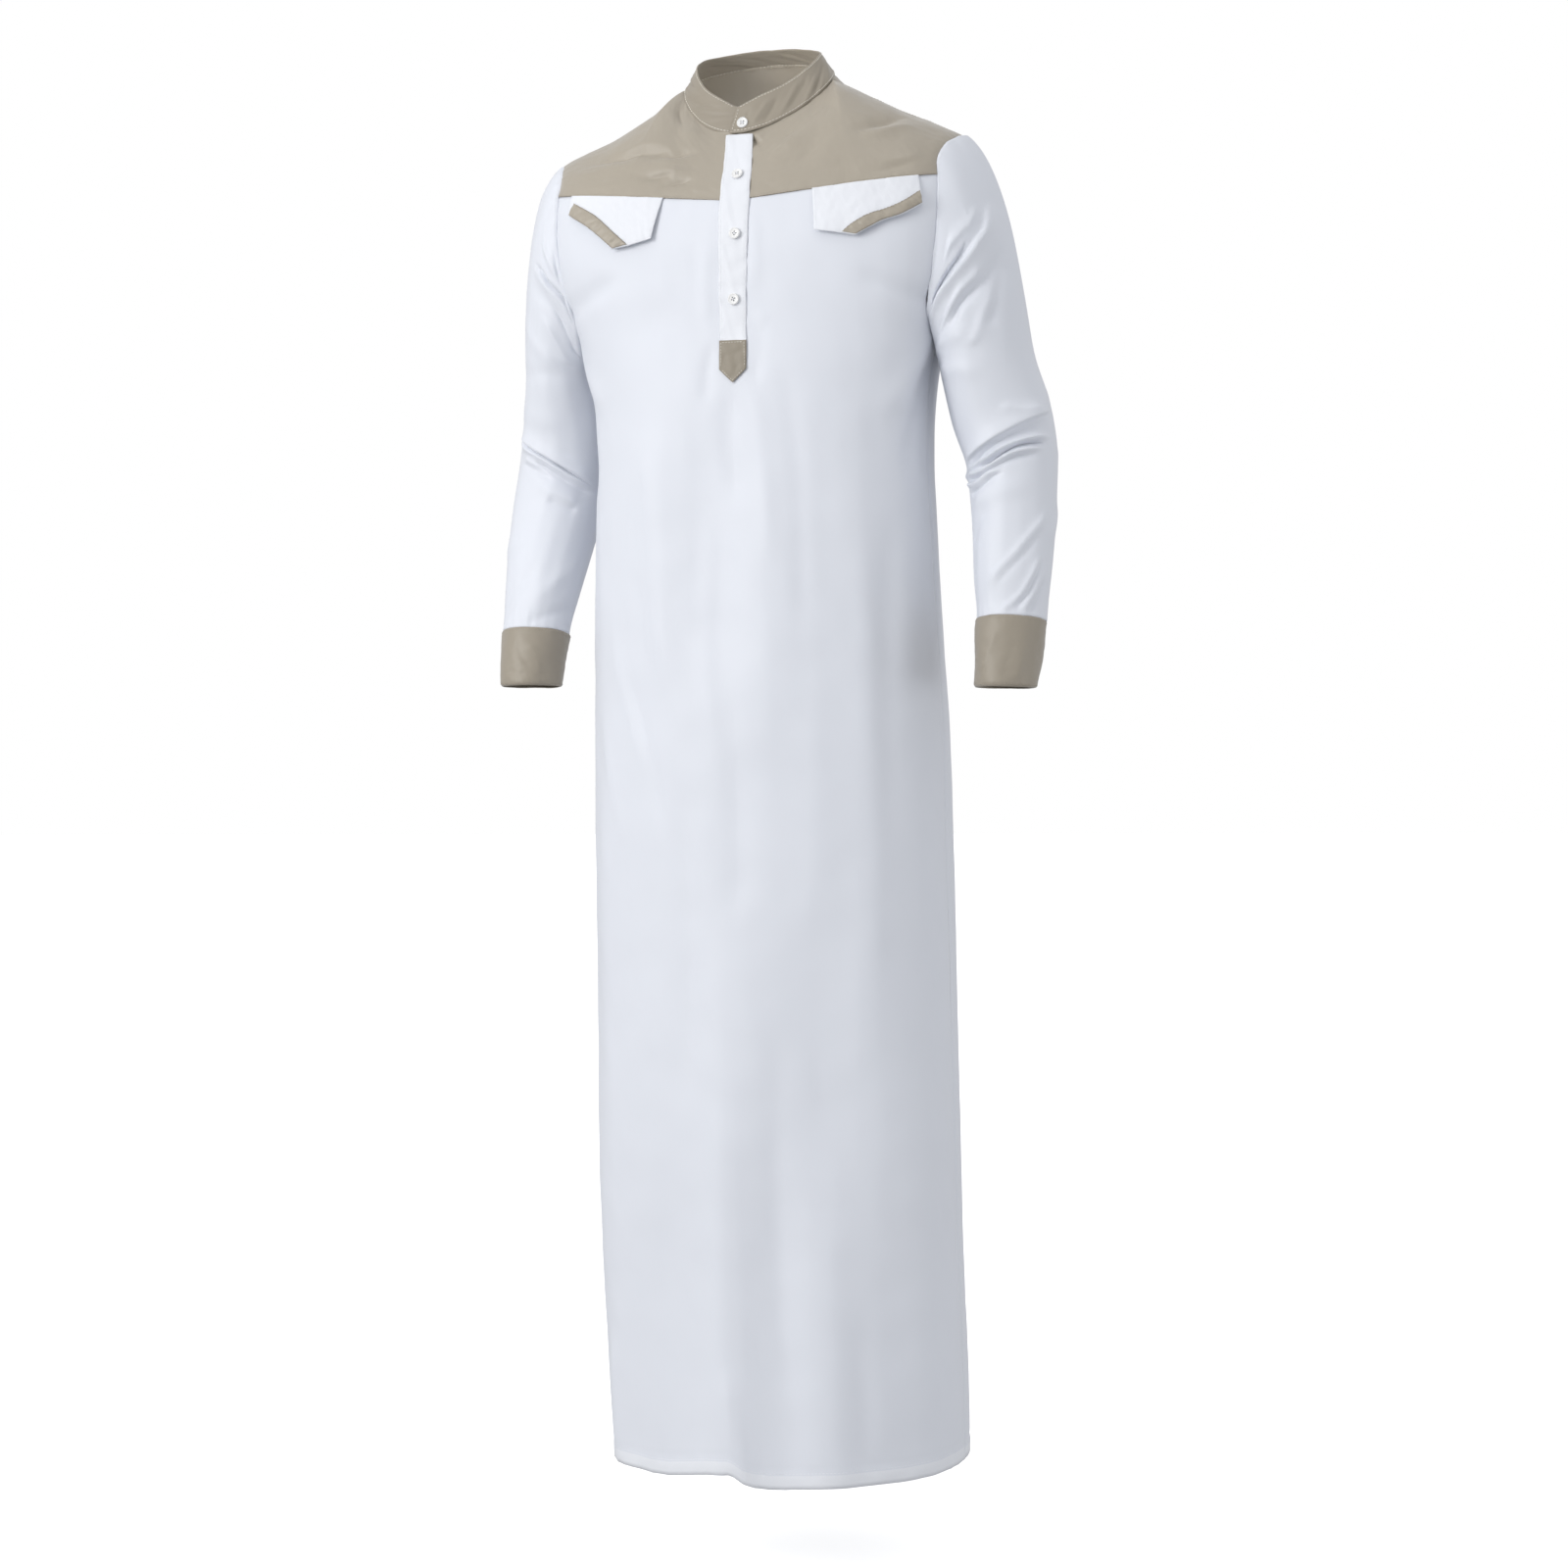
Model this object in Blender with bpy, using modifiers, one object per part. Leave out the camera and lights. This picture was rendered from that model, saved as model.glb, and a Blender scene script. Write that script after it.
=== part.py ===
"""Thobe robe: a long men's robe with a band collar, worn shape kept hollow, cloth 1.4 mm thick.

Metres, +Z up, the front faces -Y, +X is the wearer's left. The origin lies midway between the two neck side
points, where the shoulders carry the robe. Every cloth piece is a grid of points on one master surface (body
sections, yoke columns, sleeve rings), given its thickness by a Solidify modifier.
"""
import math

import bmesh
import bpy
import numpy as np
from mathutils import Matrix, Vector

# ------------------------------------------------------------------ sizes, metres
CLOTH = 0.0014          # thickness of a cloth wall
BAND = 0.0016           # thickness of the collar, the cuffs and the placket strips
SEAM = 0.0003           # gap between two pieces at a seam
HEM_Z = -1.3985         # hem, below the neck side point
YOKE_Z = -0.1315        # front yoke seam at centre front
YOKE_RISE = 0.0195      # how much higher the front yoke seam ends at the armhole
BACK_YOKE_Z = -0.118    # back yoke seam at centre back
BACK_YOKE_DROP = 0.006  # how much lower it ends at the armhole
UNDERARM_Z = -0.266
NECK_W, NECK_F, NECK_B = 0.0775, 0.0530, 0.0650   # neck seam: half width, depth to the front, depth to the back
NECK_TILT = (-0.0140, -0.0410, -0.0080, -0.0025)  # its height: these times cos 0, cos 1, cos 2, cos 3 of the angle
COLLAR_W, COLLAR_F, COLLAR_B = 0.0635, 0.0430, 0.0460   # the same of the collar's top edge
SHOULDER_TIP = (0.2137, 0.004, -0.070)
NECK_SHARE = 0.55       # share of the yoke's columns that end on the neck seam
PLACKET_X, PLACKET_W, PLACKET_END = 0.003, 0.0305, -0.2720
TAB_END, TAB_SHOULDER = -0.3135, -0.3000
SLIT_END, SLIT_W = -0.2600, 0.0024
BUTTON_R, BUTTON_T, BUTTON_HOLE_R, BUTTON_HOLE_AT = 0.00575, 0.0026, 0.00075, 0.0017
FLAP_STANDOFF = 0.0045  # how far a flap's free edge stands off the front

BODY_COLS = ("z", "half", "front", "back", "mid", "square")
BODY_ROWS = (
    (-0.060, 0.2090, 0.0660, 0.0800, 0.000, 3.3),
    (-0.100, 0.2100, 0.0800, 0.0980, 0.000, 3.4),
    (-0.130, 0.2100, 0.0910, 0.1080, 0.000, 3.6),
    (-0.165, 0.2080, 0.0995, 0.1150, 0.000, 3.6),
    (-0.210, 0.2010, 0.1025, 0.1190, 0.000, 3.4),
    (-0.260, 0.1850, 0.1040, 0.1210, 0.000, 3.1),
    (-0.310, 0.1745, 0.1080, 0.1220, 0.000, 2.8),
    (-0.380, 0.1715, 0.1110, 0.1220, -0.001, 2.6),
    (-0.450, 0.1740, 0.1140, 0.1240, -0.001, 2.5),
    (-0.550, 0.1775, 0.1190, 0.1310, -0.0005, 2.4),
    (-0.650, 0.1810, 0.1240, 0.1390, 0.001, 2.35),
    (-0.800, 0.1835, 0.1310, 0.1460, 0.001, 2.3),
    (-1.000, 0.1847, 0.1410, 0.1560, 0.0022, 2.2),
    (-1.200, 0.1845, 0.1520, 0.1680, 0.0055, 2.1),
    (-1.330, 0.1828, 0.1610, 0.1770, 0.0100, 2.05),
    (-1.410, 0.1805, 0.1670, 0.1830, 0.0120, 2.0),
)
ARM_COLS = ("z", "front", "back")     # where the armhole cuts the section, as a share of the quarter arc
ARM_ROWS = (
    (-0.100, 0.800, 0.790),
    (-0.1125, 0.795, 0.787),
    (-0.140, 0.785, 0.780),
    (-0.165, 0.780, 0.776),
    (-0.210, 0.782, 0.776),
    (-0.235, 0.800, 0.792),
    (-0.250, 0.830, 0.822),
    (-0.258, 0.870, 0.865),
    (-0.2635, 0.930, 0.930),
    (-0.266, 1.000, 1.000),
)
SHOULDER_COLS = ("x", "y", "z")
SHOULDER_ROWS = (
    (0.0775, 0.0000, -0.0050),
    (0.0950, 0.0030, -0.0135),
    (0.1150, 0.0050, -0.0235),
    (0.1500, 0.0070, -0.0410),
    (0.1850, 0.0060, -0.0560),
    (0.2137, 0.0040, -0.0700),
)

def curve(xs, ys):
    xs, ys = np.asarray(xs, float), np.asarray(ys, float)
    if xs[0] > xs[-1]:
        xs, ys = xs[::-1], ys[::-1]
    h = np.diff(xs); d = np.diff(ys) / h
    m = np.empty_like(ys); m[0], m[-1] = d[0], d[-1]
    m[1:-1] = (d[:-1] * h[1:] + d[1:] * h[:-1]) / (h[:-1] + h[1:])
    def at(q):
        q = np.clip(np.asarray(q, float), xs[0], xs[-1])
        i = np.clip(np.searchsorted(xs, q, side="right") - 1, 0, len(h) - 1)
        t = (q - xs[i]) / h[i]
        return (ys[i] * (2*t**3 - 3*t**2 + 1) + m[i]*h[i] * (t**3 - 2*t**2 + t)
                + ys[i+1] * (3*t**2 - 2*t**3) + m[i+1]*h[i] * (t**3 - t**2))
    return at

def columns(names, rows, key):
    a = np.array(rows, float)
    k = a[:, names.index(key)]
    return {n: curve(k, a[:, i]) for i, n in enumerate(names) if n != key}

BODY = columns(BODY_COLS, BODY_ROWS, "z")
ARM = columns(ARM_COLS, ARM_ROWS, "z")
SHOULDER = columns(SHOULDER_COLS, SHOULDER_ROWS, "x")

def smooth(t):
    t = np.clip(t, 0.0, 1.0)
    return t * t * (3 - 2 * t)

SHOULDER_DROP = 0.0095  # the wearer's right shoulder line hangs this much lower halfway along it

NECK_SHIFT = 0.0080, 0.0044     # the fastened front of the neck sits this far to the wearer's right, and higher

def settle(p):
    """Lets the wearer's right shoulder down and shifts the front of the neck; every piece's points go through it,
    so seams stay together."""
    p = np.array(p, float)
    x, z = -p[..., 0], p[..., 2]
    w = smooth((x - 0.074) / 0.032) * (1 - 0.35 * smooth((x - 0.15) / 0.06))
    p[..., 2] -= SHOULDER_DROP * w * smooth((z + 0.118) / 0.060)
    x, y, z = p[..., 0], p[..., 1], p[..., 2].copy()
    w = np.clip(1 - (x / 0.082) ** 2, 0, 1) ** 2 * smooth((0.010 - y) / 0.055)
    w = w * smooth((z + 0.128) / 0.080)
    p[..., 0] -= NECK_SHIFT[0] * w
    p[..., 2] += NECK_SHIFT[1] * w
    return p

# arc-length lookup
_Z = np.linspace(-1.42, -0.055, 274)
_T = np.linspace(0, 1, 101)
def _angles(depth):
    out = []
    phi = np.linspace(0, math.pi / 2, 241)
    for z in _Z:
        a, b, n = BODY["half"](z), depth(z), BODY["square"](z)
        r = ((np.cos(phi) / b) ** n + (np.sin(phi) / a) ** n) ** (-1 / n)
        p = np.stack([r * np.sin(phi), r * np.cos(phi)])
        s = np.concatenate([[0], np.cumsum(np.linalg.norm(np.diff(p, axis=1), axis=0))])
        out.append(np.interp(_T, s / s[-1], phi))
    return np.array(out)
PHI = {"front": _angles(BODY["front"]), "back": _angles(BODY["back"])}

def _lookup(table, t, z):
    i = np.clip((z - _Z[0]) / (_Z[1] - _Z[0]), 0, len(_Z) - 1.001)
    j = np.clip(t * (len(_T) - 1), 0, len(_T) - 1.001)
    i0, j0 = i.astype(int), j.astype(int)
    fi, fj = i - i0, j - j0
    return ((1-fi)*(1-fj)*table[i0, j0] + fi*(1-fj)*table[i0+1, j0]
            + (1-fi)*fj*table[i0, j0+1] + fi*fj*table[i0+1, j0+1])

def body(t, z):
    """Section at height z: t is 0 at centre front, 1 at the side seam, 2 at centre back, on +X; negative on -X."""
    t, z = np.broadcast_arrays(np.asarray(t, float), np.asarray(z, float))
    side = np.where(t < 0, -1.0, 1.0); u = np.abs(t)
    fr = u <= 1
    q = np.where(fr, u, 2 - u)
    phi = np.where(fr, _lookup(PHI["front"], q, z), _lookup(PHI["back"], q, z))
    a, n = BODY["half"](z), BODY["square"](z)
    b = np.where(fr, BODY["front"](z), BODY["back"](z))
    r = ((np.abs(np.cos(phi)) / b) ** n + (np.abs(np.sin(phi)) / a) ** n) ** (-1 / n)
    x = BODY["mid"](z) + side * r * np.sin(phi)
    y = np.where(fr, -1.0, 1.0) * r * np.cos(phi)
    return np.stack([x, y, z], axis=-1)

def neck(th):
    """Neck seam: th 0 centre front, pi/2 the +X side, pi centre back."""
    th = np.asarray(th, float)
    z = sum(c * np.cos(k * th) for k, c in enumerate(NECK_TILT))
    y = np.where(np.cos(th) > 0, -NECK_F, -NECK_B) * np.cos(th)
    return np.stack([NECK_W * np.sin(th), y, z], -1)

def collar_top(th):
    th = np.asarray(th, float)
    n = neck(th)
    h = COLLAR_H(np.abs(np.arctan2(np.sin(th), np.cos(th))))
    y = np.where(np.cos(th) > 0, -COLLAR_F, -COLLAR_B) * np.cos(th)
    return np.stack([COLLAR_W * np.sin(th), y, n[..., 2] + h], -1)
COLLAR_H = curve((0, 0.30, 0.8, math.pi/2, 2.4, math.pi + 1e-6), (0.0285, 0.0340, 0.0315, 0.0260, 0.0185, 0.0155))

ALPHA_FRONT = curve((0, 0.3, NECK_SHARE, 0.75, 1.0), np.radians((66, 55, 16, 10, 6)))
ALPHA_BACK = curve((0, 0.3, NECK_SHARE, 0.75, 1.0), np.radians((58, 40, 8, 8, 6)))

def yoke_top(s, back):
    s = np.asarray(s, float)
    k = np.clip(s / NECK_SHARE, 0, 1)
    th = k * math.pi / 2
    n = neck(math.pi - th if back else th)
    w = np.clip((s - NECK_SHARE) / (1 - NECK_SHARE), 0, 1)
    x = SHOULDER_ROWS[0][0] + w * (SHOULDER_TIP[0] - SHOULDER_ROWS[0][0])
    sh = np.stack([x, SHOULDER["y"](x), SHOULDER["z"](x)], -1)
    return np.where((s < NECK_SHARE)[..., None], n, sh)

def seam_z(s, back=False):
    """Height of the yoke seam; s runs 0 to 1 from the centre to the armhole."""
    s = np.asarray(s, float)
    if back:
        return BACK_YOKE_Z - BACK_YOKE_DROP * s ** 2
    return YOKE_Z + YOKE_RISE * np.clip(s, 0, 1)

def yoke(s, v, back=False):
    """Yoke surface on +X: s 0 centre to 1 armhole, v 0 top edge to 1 yoke seam."""
    s, v = np.broadcast_arrays(np.asarray(s, float), np.asarray(v, float))
    zb = seam_z(s, back)
    edge = ARM["back" if back else "front"](zb)
    t = (2 - s * edge) if back else s * edge
    p3 = body(t, zb)
    up = (body(t, zb + 0.004) - p3) / 0.004
    up /= np.linalg.norm(up, axis=-1, keepdims=True)
    p0 = yoke_top(s, back)
    d = p3 - p0
    length = np.linalg.norm(d, axis=-1, keepdims=True)
    flat = d * [1, 1, 0]
    flat /= np.maximum(np.linalg.norm(flat, axis=-1, keepdims=True), 1e-9)
    al = (ALPHA_BACK if back else ALPHA_FRONT)(s)[..., None]
    go = flat * np.cos(al) + np.array([0, 0, -1.0]) * np.sin(al)
    p1 = p0 + go * length * 0.40
    p2 = p3 + up * length * 0.36
    v = v[..., None]
    return (1-v)**3 * p0 + 3*v*(1-v)**2 * p1 + 3*v*v*(1-v) * p2 + v**3 * p3

# ------------------------------------------------------------------ sleeves
TOP_Z = -0.300
RING_LEAN = 0.45   # share of the arm's forward lean that its rings follow
SLEEVE_COLS = ("z", "x", "y", "outer", "inner", "front", "back")
SLEEVE_ROWS = {
    "left": (   # wearer's left, +X
        (-0.300, 0.2285, 0.010, 0.0500, 0.0425, 0.0580, 0.0600),
        (-0.345, 0.2400, 0.015, 0.0540, 0.0450, 0.0560, 0.0560),
        (-0.385, 0.2520, 0.014, 0.0488, 0.0435, 0.0520, 0.0530),
        (-0.425, 0.2580, 0.006, 0.0435, 0.0435, 0.0480, 0.0480),
        (-0.470, 0.2600, -0.006, 0.0410, 0.0400, 0.0440, 0.0440),
        (-0.510, 0.2605, -0.018, 0.0388, 0.0366, 0.0408, 0.0408),
        (-0.5535, 0.2618, -0.029, 0.0347, 0.0335, 0.0368, 0.0368),
        (-0.5540, 0.2618, -0.0292, 0.0347, 0.0335, 0.0368, 0.0368),
        (-0.6190, 0.2592, -0.047, 0.0305, 0.0305, 0.0335, 0.0335),
    ),
    "right": (  # wearer's right, on -X; x is given as a distance
        (-0.300, 0.2240, 0.018, 0.0365, 0.0400, 0.0560, 0.0590),
        (-0.345, 0.2255, 0.030, 0.0450, 0.0435, 0.0550, 0.0560),
        (-0.385, 0.2280, 0.034, 0.0500, 0.0435, 0.0520, 0.0530),
        (-0.425, 0.2345, 0.026, 0.0485, 0.0440, 0.0480, 0.0480),
        (-0.470, 0.2405, 0.010, 0.0430, 0.0420, 0.0440, 0.0440),
        (-0.515, 0.2440, -0.008, 0.0370, 0.0380, 0.0400, 0.0400),
        (-0.556, 0.2450, -0.024, 0.0335, 0.0335, 0.0352, 0.0352),
        (-0.5565, 0.2450, -0.0242, 0.0335, 0.0335, 0.0352, 0.0352),
        (-0.611, 0.2440, -0.042, 0.0300, 0.0295, 0.0320, 0.0320),
    ),
}
CUFF_Z = {"left": -0.5537, "right": -0.5562}
CUFF_END = {"left": -0.619, "right": -0.611}

def arm_edge(n=240):
    """Armhole, closed, +X side: from the shoulder tip down the front to the underarm and up the back."""
    v = np.linspace(0, 1, n // 3)
    f_up = yoke(np.ones_like(v), v)
    b_up = yoke(np.ones_like(v), v, back=True)
    zf = np.linspace(seam_z(1.0), UNDERARM_Z, 4 * n)
    f_dn = body(ARM["front"](zf), zf)
    zb = np.linspace(seam_z(1.0, True), UNDERARM_Z, 4 * n)
    b_dn = body(2 - ARM["back"](zb), zb)
    def even(p, m):
        s = np.concatenate([[0], np.cumsum(np.linalg.norm(np.diff(p, axis=0), axis=1))])
        q = np.linspace(0, s[-1], m)
        return np.stack([np.interp(q, s, p[:, k]) for k in range(3)], -1), s[-1]
    front, lf = even(np.concatenate([f_up, f_dn[1:]]), n + 1)
    back, lb = even(np.concatenate([b_up, b_dn[1:]]), n + 1)
    return front, back, lf, lb
FRONT_EDGE, BACK_EDGE, ARM_F, ARM_B = arm_edge()

def arm_at(psi):
    """Point of the armhole: psi 0 at the shoulder tip, pi/2 the front, pi the underarm, 3pi/2 the back."""
    psi = np.mod(np.asarray(psi, float), 2 * math.pi)
    q = np.linspace(0, 1, len(FRONT_EDGE))
    f = np.stack([np.interp(np.clip(psi / math.pi, 0, 1), q, FRONT_EDGE[:, k]) for k in range(3)], -1)
    b = np.stack([np.interp(np.clip((2*math.pi - psi) / math.pi, 0, 1), q, BACK_EDGE[:, k]) for k in range(3)], -1)
    return np.where((psi <= math.pi)[..., None], f, b)

def sleeve_lower(side, psi, z):
    rows = columns(SLEEVE_COLS, SLEEVE_ROWS[side], "z")
    psi, z = np.broadcast_arrays(np.asarray(psi, float), np.asarray(z, float))
    c = np.stack([rows["x"](z), rows["y"](z), z], -1)
    e = 0.004
    cu = np.stack([rows["x"](z + e), rows["y"](z + e), z + e], -1)
    cd = np.stack([rows["x"](z - e), rows["y"](z - e), z - e], -1)
    ax = cd - cu
    ax /= np.linalg.norm(ax, axis=-1, keepdims=True)
    true = ax
    ax = ax * [1, RING_LEAN, 1]
    ax /= np.linalg.norm(ax, axis=-1, keepdims=True)
    fr = np.array([0, -1.0, 0]) - ax * (ax @ np.array([0, -1.0, 0]))[..., None]
    fr /= np.linalg.norm(fr, axis=-1, keepdims=True)
    ou = np.cross(ax, fr)
    ou *= np.sign(ou[..., :1])
    cs, sn = np.cos(psi), np.sin(psi)
    ro = np.where(cs > 0, rows["outer"](z), rows["inner"](z))
    rf = np.where(sn > 0, rows["front"](z), rows["back"](z))
    return c + ou * (cs * ro)[..., None] + fr * (sn * rf)[..., None], true

def sleeve(side, psi, v):
    """Sleeve surface on +X: v 0 at the armhole, 1 at the biceps section, 2 at the cuff seam, 3 at the cuff's edge."""
    psi, v = np.broadcast_arrays(np.asarray(psi, float), np.asarray(v, float))
    a = arm_at(psi)
    e, ax = sleeve_lower(side, psi, np.full_like(psi, TOP_Z))
    d = e - a
    length = np.linalg.norm(d, axis=-1, keepdims=True)
    cs, sn = np.cos(psi), np.sin(psi)
    t0 = np.stack([0.62 + 0.20 * np.maximum(cs, 0), -0.12 * sn, -0.55 + 0.09 * cs], -1)
    t0 /= np.linalg.norm(t0, axis=-1, keepdims=True)
    m0 = (0.45 + 0.20 * cs)[..., None]
    u = np.clip(v, 0, 1)[..., None]
    cap = ((2*u**3 - 3*u**2 + 1) * a + (u**3 - 2*u**2 + u) * t0 * length * m0
           + (3*u**2 - 2*u**3) * e + (u**3 - u**2) * ax * length * 0.85)
    zl = np.where(v <= 2, TOP_Z + (CUFF_Z[side] - TOP_Z) * np.clip(v - 1, 0, 1),
                  CUFF_Z[side] + (CUFF_END[side] - CUFF_Z[side]) * np.clip(v - 2, 0, 1))
    low, _ = sleeve_lower(side, psi, zl)
    return np.where((v <= 1)[..., None], cap, low)


# ------------------------------------------------------------------ folds of the body
FOLD_COLS = ("t0", "z0", "t1", "z1", "width", "depth")   # start and end on the section, half width and rise in metres
FOLD_ROWS = {
    "skirt ridge": (-0.03, -0.820, -0.060, -1.450, 0.032, 0.0085),
    "skirt trough beside it": (0.12, -0.980, 0.150, -1.450, 0.034, -0.0075),
    "right skirt ridge": (0.33, -1.080, 0.330, -1.450, 0.034, 0.0060),
    "right hip trough": (0.34, -0.780, 0.345, -1.120, 0.036, -0.0050),
    "left skirt trough": (-0.29, -1.050, -0.370, -1.450, 0.040, -0.0075),
    "left side ridge": (-0.62, -0.900, -0.640, -1.450, 0.050, 0.0060),
    "near side ridge": (0.72, -0.850, 0.740, -1.450, 0.046, 0.0065),
    "waist ridge": (0.20, -0.320, 0.110, -0.740, 0.034, 0.0045),
    "waist trough": (-0.125, -0.320, -0.070, -0.640, 0.030, -0.0045),
    "back centre trough": (2.00, -0.420, 1.960, -1.450, 0.050, -0.0080),
    "back ridge left": (1.68, -0.520, 1.640, -1.450, 0.042, 0.0080),
    "back ridge right": (-1.72, -0.480, -1.660, -1.450, 0.046, 0.0075),
    "back trough left": (1.36, -0.900, 1.380, -1.450, 0.040, -0.0065),
    "back trough right": (-1.40, -0.760, -1.360, -1.450, 0.044, -0.0060),
}
HEM_LINE = (  # height of the front hem against t: higher beside the skirt ridge, with a step down at it
    (-1.0, -0.7, -0.5, -0.43, -0.345, -0.23, -0.13, -0.035, 0.01, 0.045, 0.10, 0.155, 0.30, 0.60, 0.80, 1.0),
    (-1.3985, -1.3975, -1.3972, -1.3990, -1.3983, -1.3934, -1.3885, -1.3865, -1.3954, -1.3993, -1.4018, -1.4020, -1.3996,
     -1.4000, -1.3980, -1.3985),
)


def section_lengths(depth_key):
    """Length of the quarter arc against height, for steps in metres along a section."""
    out = []
    for z in np.linspace(HEM_Z, -0.12, 24):
        t = np.linspace(0, 1, 60) + (0 if depth_key == "front" else 1)
        p = body(t, np.full_like(t, z))
        out.append((z, np.linalg.norm(np.diff(p, axis=0), axis=1).sum()))
    z, l = np.array(out).T
    return curve(z, l)


ARC = {"front": section_lengths("front"), "back": section_lengths("back")}


def section_normal(t, z):
    """Outward level direction of the section at t."""
    e = 0.004
    d = body(t + e, z) - body(t - e, z)
    n = np.stack([-d[..., 1], d[..., 0], np.zeros_like(d[..., 0])], -1)
    n = -n
    n /= np.maximum(np.linalg.norm(n, axis=-1, keepdims=True), 1e-9)
    p = body(t, z)
    out = np.sign(n[..., 0] * (p[..., 0] - BODY["mid"](z)) + n[..., 1] * p[..., 1])
    return n * np.where(out == 0, 1, out)[..., None]


def fold_rise(t, z):
    """Sum of the folds at t, z."""
    rise = np.zeros_like(t)
    for t0, z0, t1, z1, width, depth in FOLD_ROWS.values():
        k = np.clip((z - z0) / (z1 - z0), 0, 1)
        gap = t - (t0 + (t1 - t0) * k)
        gap = (gap + 2) % 4 - 2                     # the section closes at t = 2 and -2
        arc = np.where(np.abs(t) <= 1, ARC["front"](z), ARC["back"](z))
        grow = smooth((z0 - z) / (0.45 * (z0 - z1)))
        tail = 1.0 if z1 < HEM_Z else smooth((z - z1) / (0.3 * (z0 - z1)))
        rise = rise + depth * np.exp(-(gap * arc / width) ** 2) * grow * tail
    return rise


def cloth(t, z):
    """Body surface with its folds."""
    t, z = np.broadcast_arrays(np.asarray(t, float), np.asarray(z, float))
    return body(t, z) + section_normal(t, z) * fold_rise(t, z)[..., None]


def hem_height(t):
    """Height of the front hem."""
    return np.interp(t, *HEM_LINE)


# ------------------------------------------------------------------ helpers
def clear():
    for o in list(bpy.data.objects):
        bpy.data.objects.remove(o, do_unlink=True)


def material(name, colour, rough):
    m = bpy.data.materials.new(name)
    m.use_nodes = True
    b = m.node_tree.nodes["Principled BSDF"]
    b.inputs["Base Color"].default_value = (*colour, 1)
    b.inputs["Roughness"].default_value = rough
    return m


WHITE, TAN, PEARL = (0.82, 0.83, 0.86), (0.42, 0.37, 0.30), (0.86, 0.86, 0.84)


def new_object(name, verts, faces, colour, rough=0.8):
    mesh = bpy.data.meshes.new(name)
    mesh.from_pydata([tuple(map(float, v)) for v in settle(verts)], [], faces)
    mesh.update()
    ob = bpy.data.objects.new(name, mesh)
    PART.objects.link(ob)
    mesh.materials.append(material(name + "_look", colour, rough))
    return ob


def sheet(name, grid, colour, thick=CLOTH, closed=False, holes=(), flip=False, offset=0.0):
    """Wall of cloth from a grid of points (rows, columns, 3); holes are grid cells left out."""
    g = np.asarray(grid, float)
    rows, cols = g.shape[:2]
    faces = []
    for i in range(rows - 1):
        for j in range(cols if closed else cols - 1):
            if (i, j) in holes:
                continue
            k = (j + 1) % cols
            f = (i * cols + j, (i + 1) * cols + j, (i + 1) * cols + k, i * cols + k)
            faces.append(f[::-1] if flip else f)
    used = sorted({v for f in faces for v in f})
    index = {v: n for n, v in enumerate(used)}
    flat = g.reshape(-1, 3)
    ob = new_object(name, [flat[v] for v in used], [tuple(index[v] for v in f) for f in faces], colour)
    mod = ob.modifiers.new("wall", "SOLIDIFY")
    mod.thickness = thick
    mod.offset = offset
    mod.use_even_offset = True
    mod.use_rim = True
    return ob


def away(grid, distance, closed=False):
    """Points of a grid moved along its own normals; distance is a number or an array."""
    g = np.asarray(grid, float)
    du = np.gradient(g, axis=0)
    dv = (np.roll(g, -1, 1) - np.roll(g, 1, 1)) if closed else np.gradient(g, axis=1)
    n = np.cross(dv, du)
    n /= np.maximum(np.linalg.norm(n, axis=-1, keepdims=True), 1e-12)
    return g + n * (distance if np.isscalar(distance) else np.asarray(distance)[..., None])


def pull_in(grid, first=0.0, last=0.0, left=0.0, right=0.0):
    """Moves the border rows and columns of a grid inward by these distances."""
    g = np.array(grid, float)
    def shift(edge, nxt, d):
        v = nxt - edge
        l = np.linalg.norm(v, axis=-1, keepdims=True)
        return edge + v / np.maximum(l, 1e-9) * np.minimum(d, 0.6 * l)
    if first:
        g[0] = shift(g[0], g[1], first)
    if last:
        g[-1] = shift(g[-1], g[-2], last)
    if left:
        g[:, 0] = shift(g[:, 0], g[:, 1], left)
    if right:
        g[:, -1] = shift(g[:, -1], g[:, -2], right)
    return g


# ------------------------------------------------------------------ front and back
ARM_LEVELS = (0.0, 0.22, 0.46, 0.68, 0.84, 0.925, 0.970, 0.990, 1.0)
BODY_LEVELS = (-0.295, -0.335, -0.380, -0.440, -0.510, -0.590, -0.680, -0.780, -0.880, -0.980, -1.070, -1.155,
               -1.235, -1.310, -1.370, -1.397)


def panel(back, columns):
    """Grid of the front or back panel; columns run from the wearer's right to the left side seam."""
    s = np.asarray(columns, float)
    grid = []
    for k in ARM_LEVELS:
        z = seam_z(np.abs(s), back) * (1 - k) + UNDERARM_Z * k
        edge = ARM["back" if back else "front"](z)
        t = s * (1 - (1 - edge) * s ** 2)             # the outer columns follow the armhole, the middle ones hang
        if back:
            t = np.sign(s) * 2 - t
            t = np.where(s == 0, 2.0, t)
        grid.append(cloth(t, z))
    for z in BODY_LEVELS:
        t = s.copy()
        if back:
            t = np.where(s == 0, 2.0, np.sign(s) * 2 - s)
        zz = np.full_like(s, z)
        if not back:
            zz = zz + (hem_height(t) - HEM_Z) * smooth((-1.15 - z) / 0.22)
        grid.append(cloth(t, zz))
    g = np.array(grid)
    return pull_in(g, first=0.0006, left=0.0008, right=0.0008)


def front_columns():
    wide = np.linspace(0.075, 1.0, 13)
    half = SLIT_W / 2 / float(ARC["front"](-0.2))
    mid = PLACKET_X / float(ARC["front"](-0.2))
    inner = [mid - half, mid + half]
    return np.array(sorted(list(-wide) + inner + list(wide)))


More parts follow.
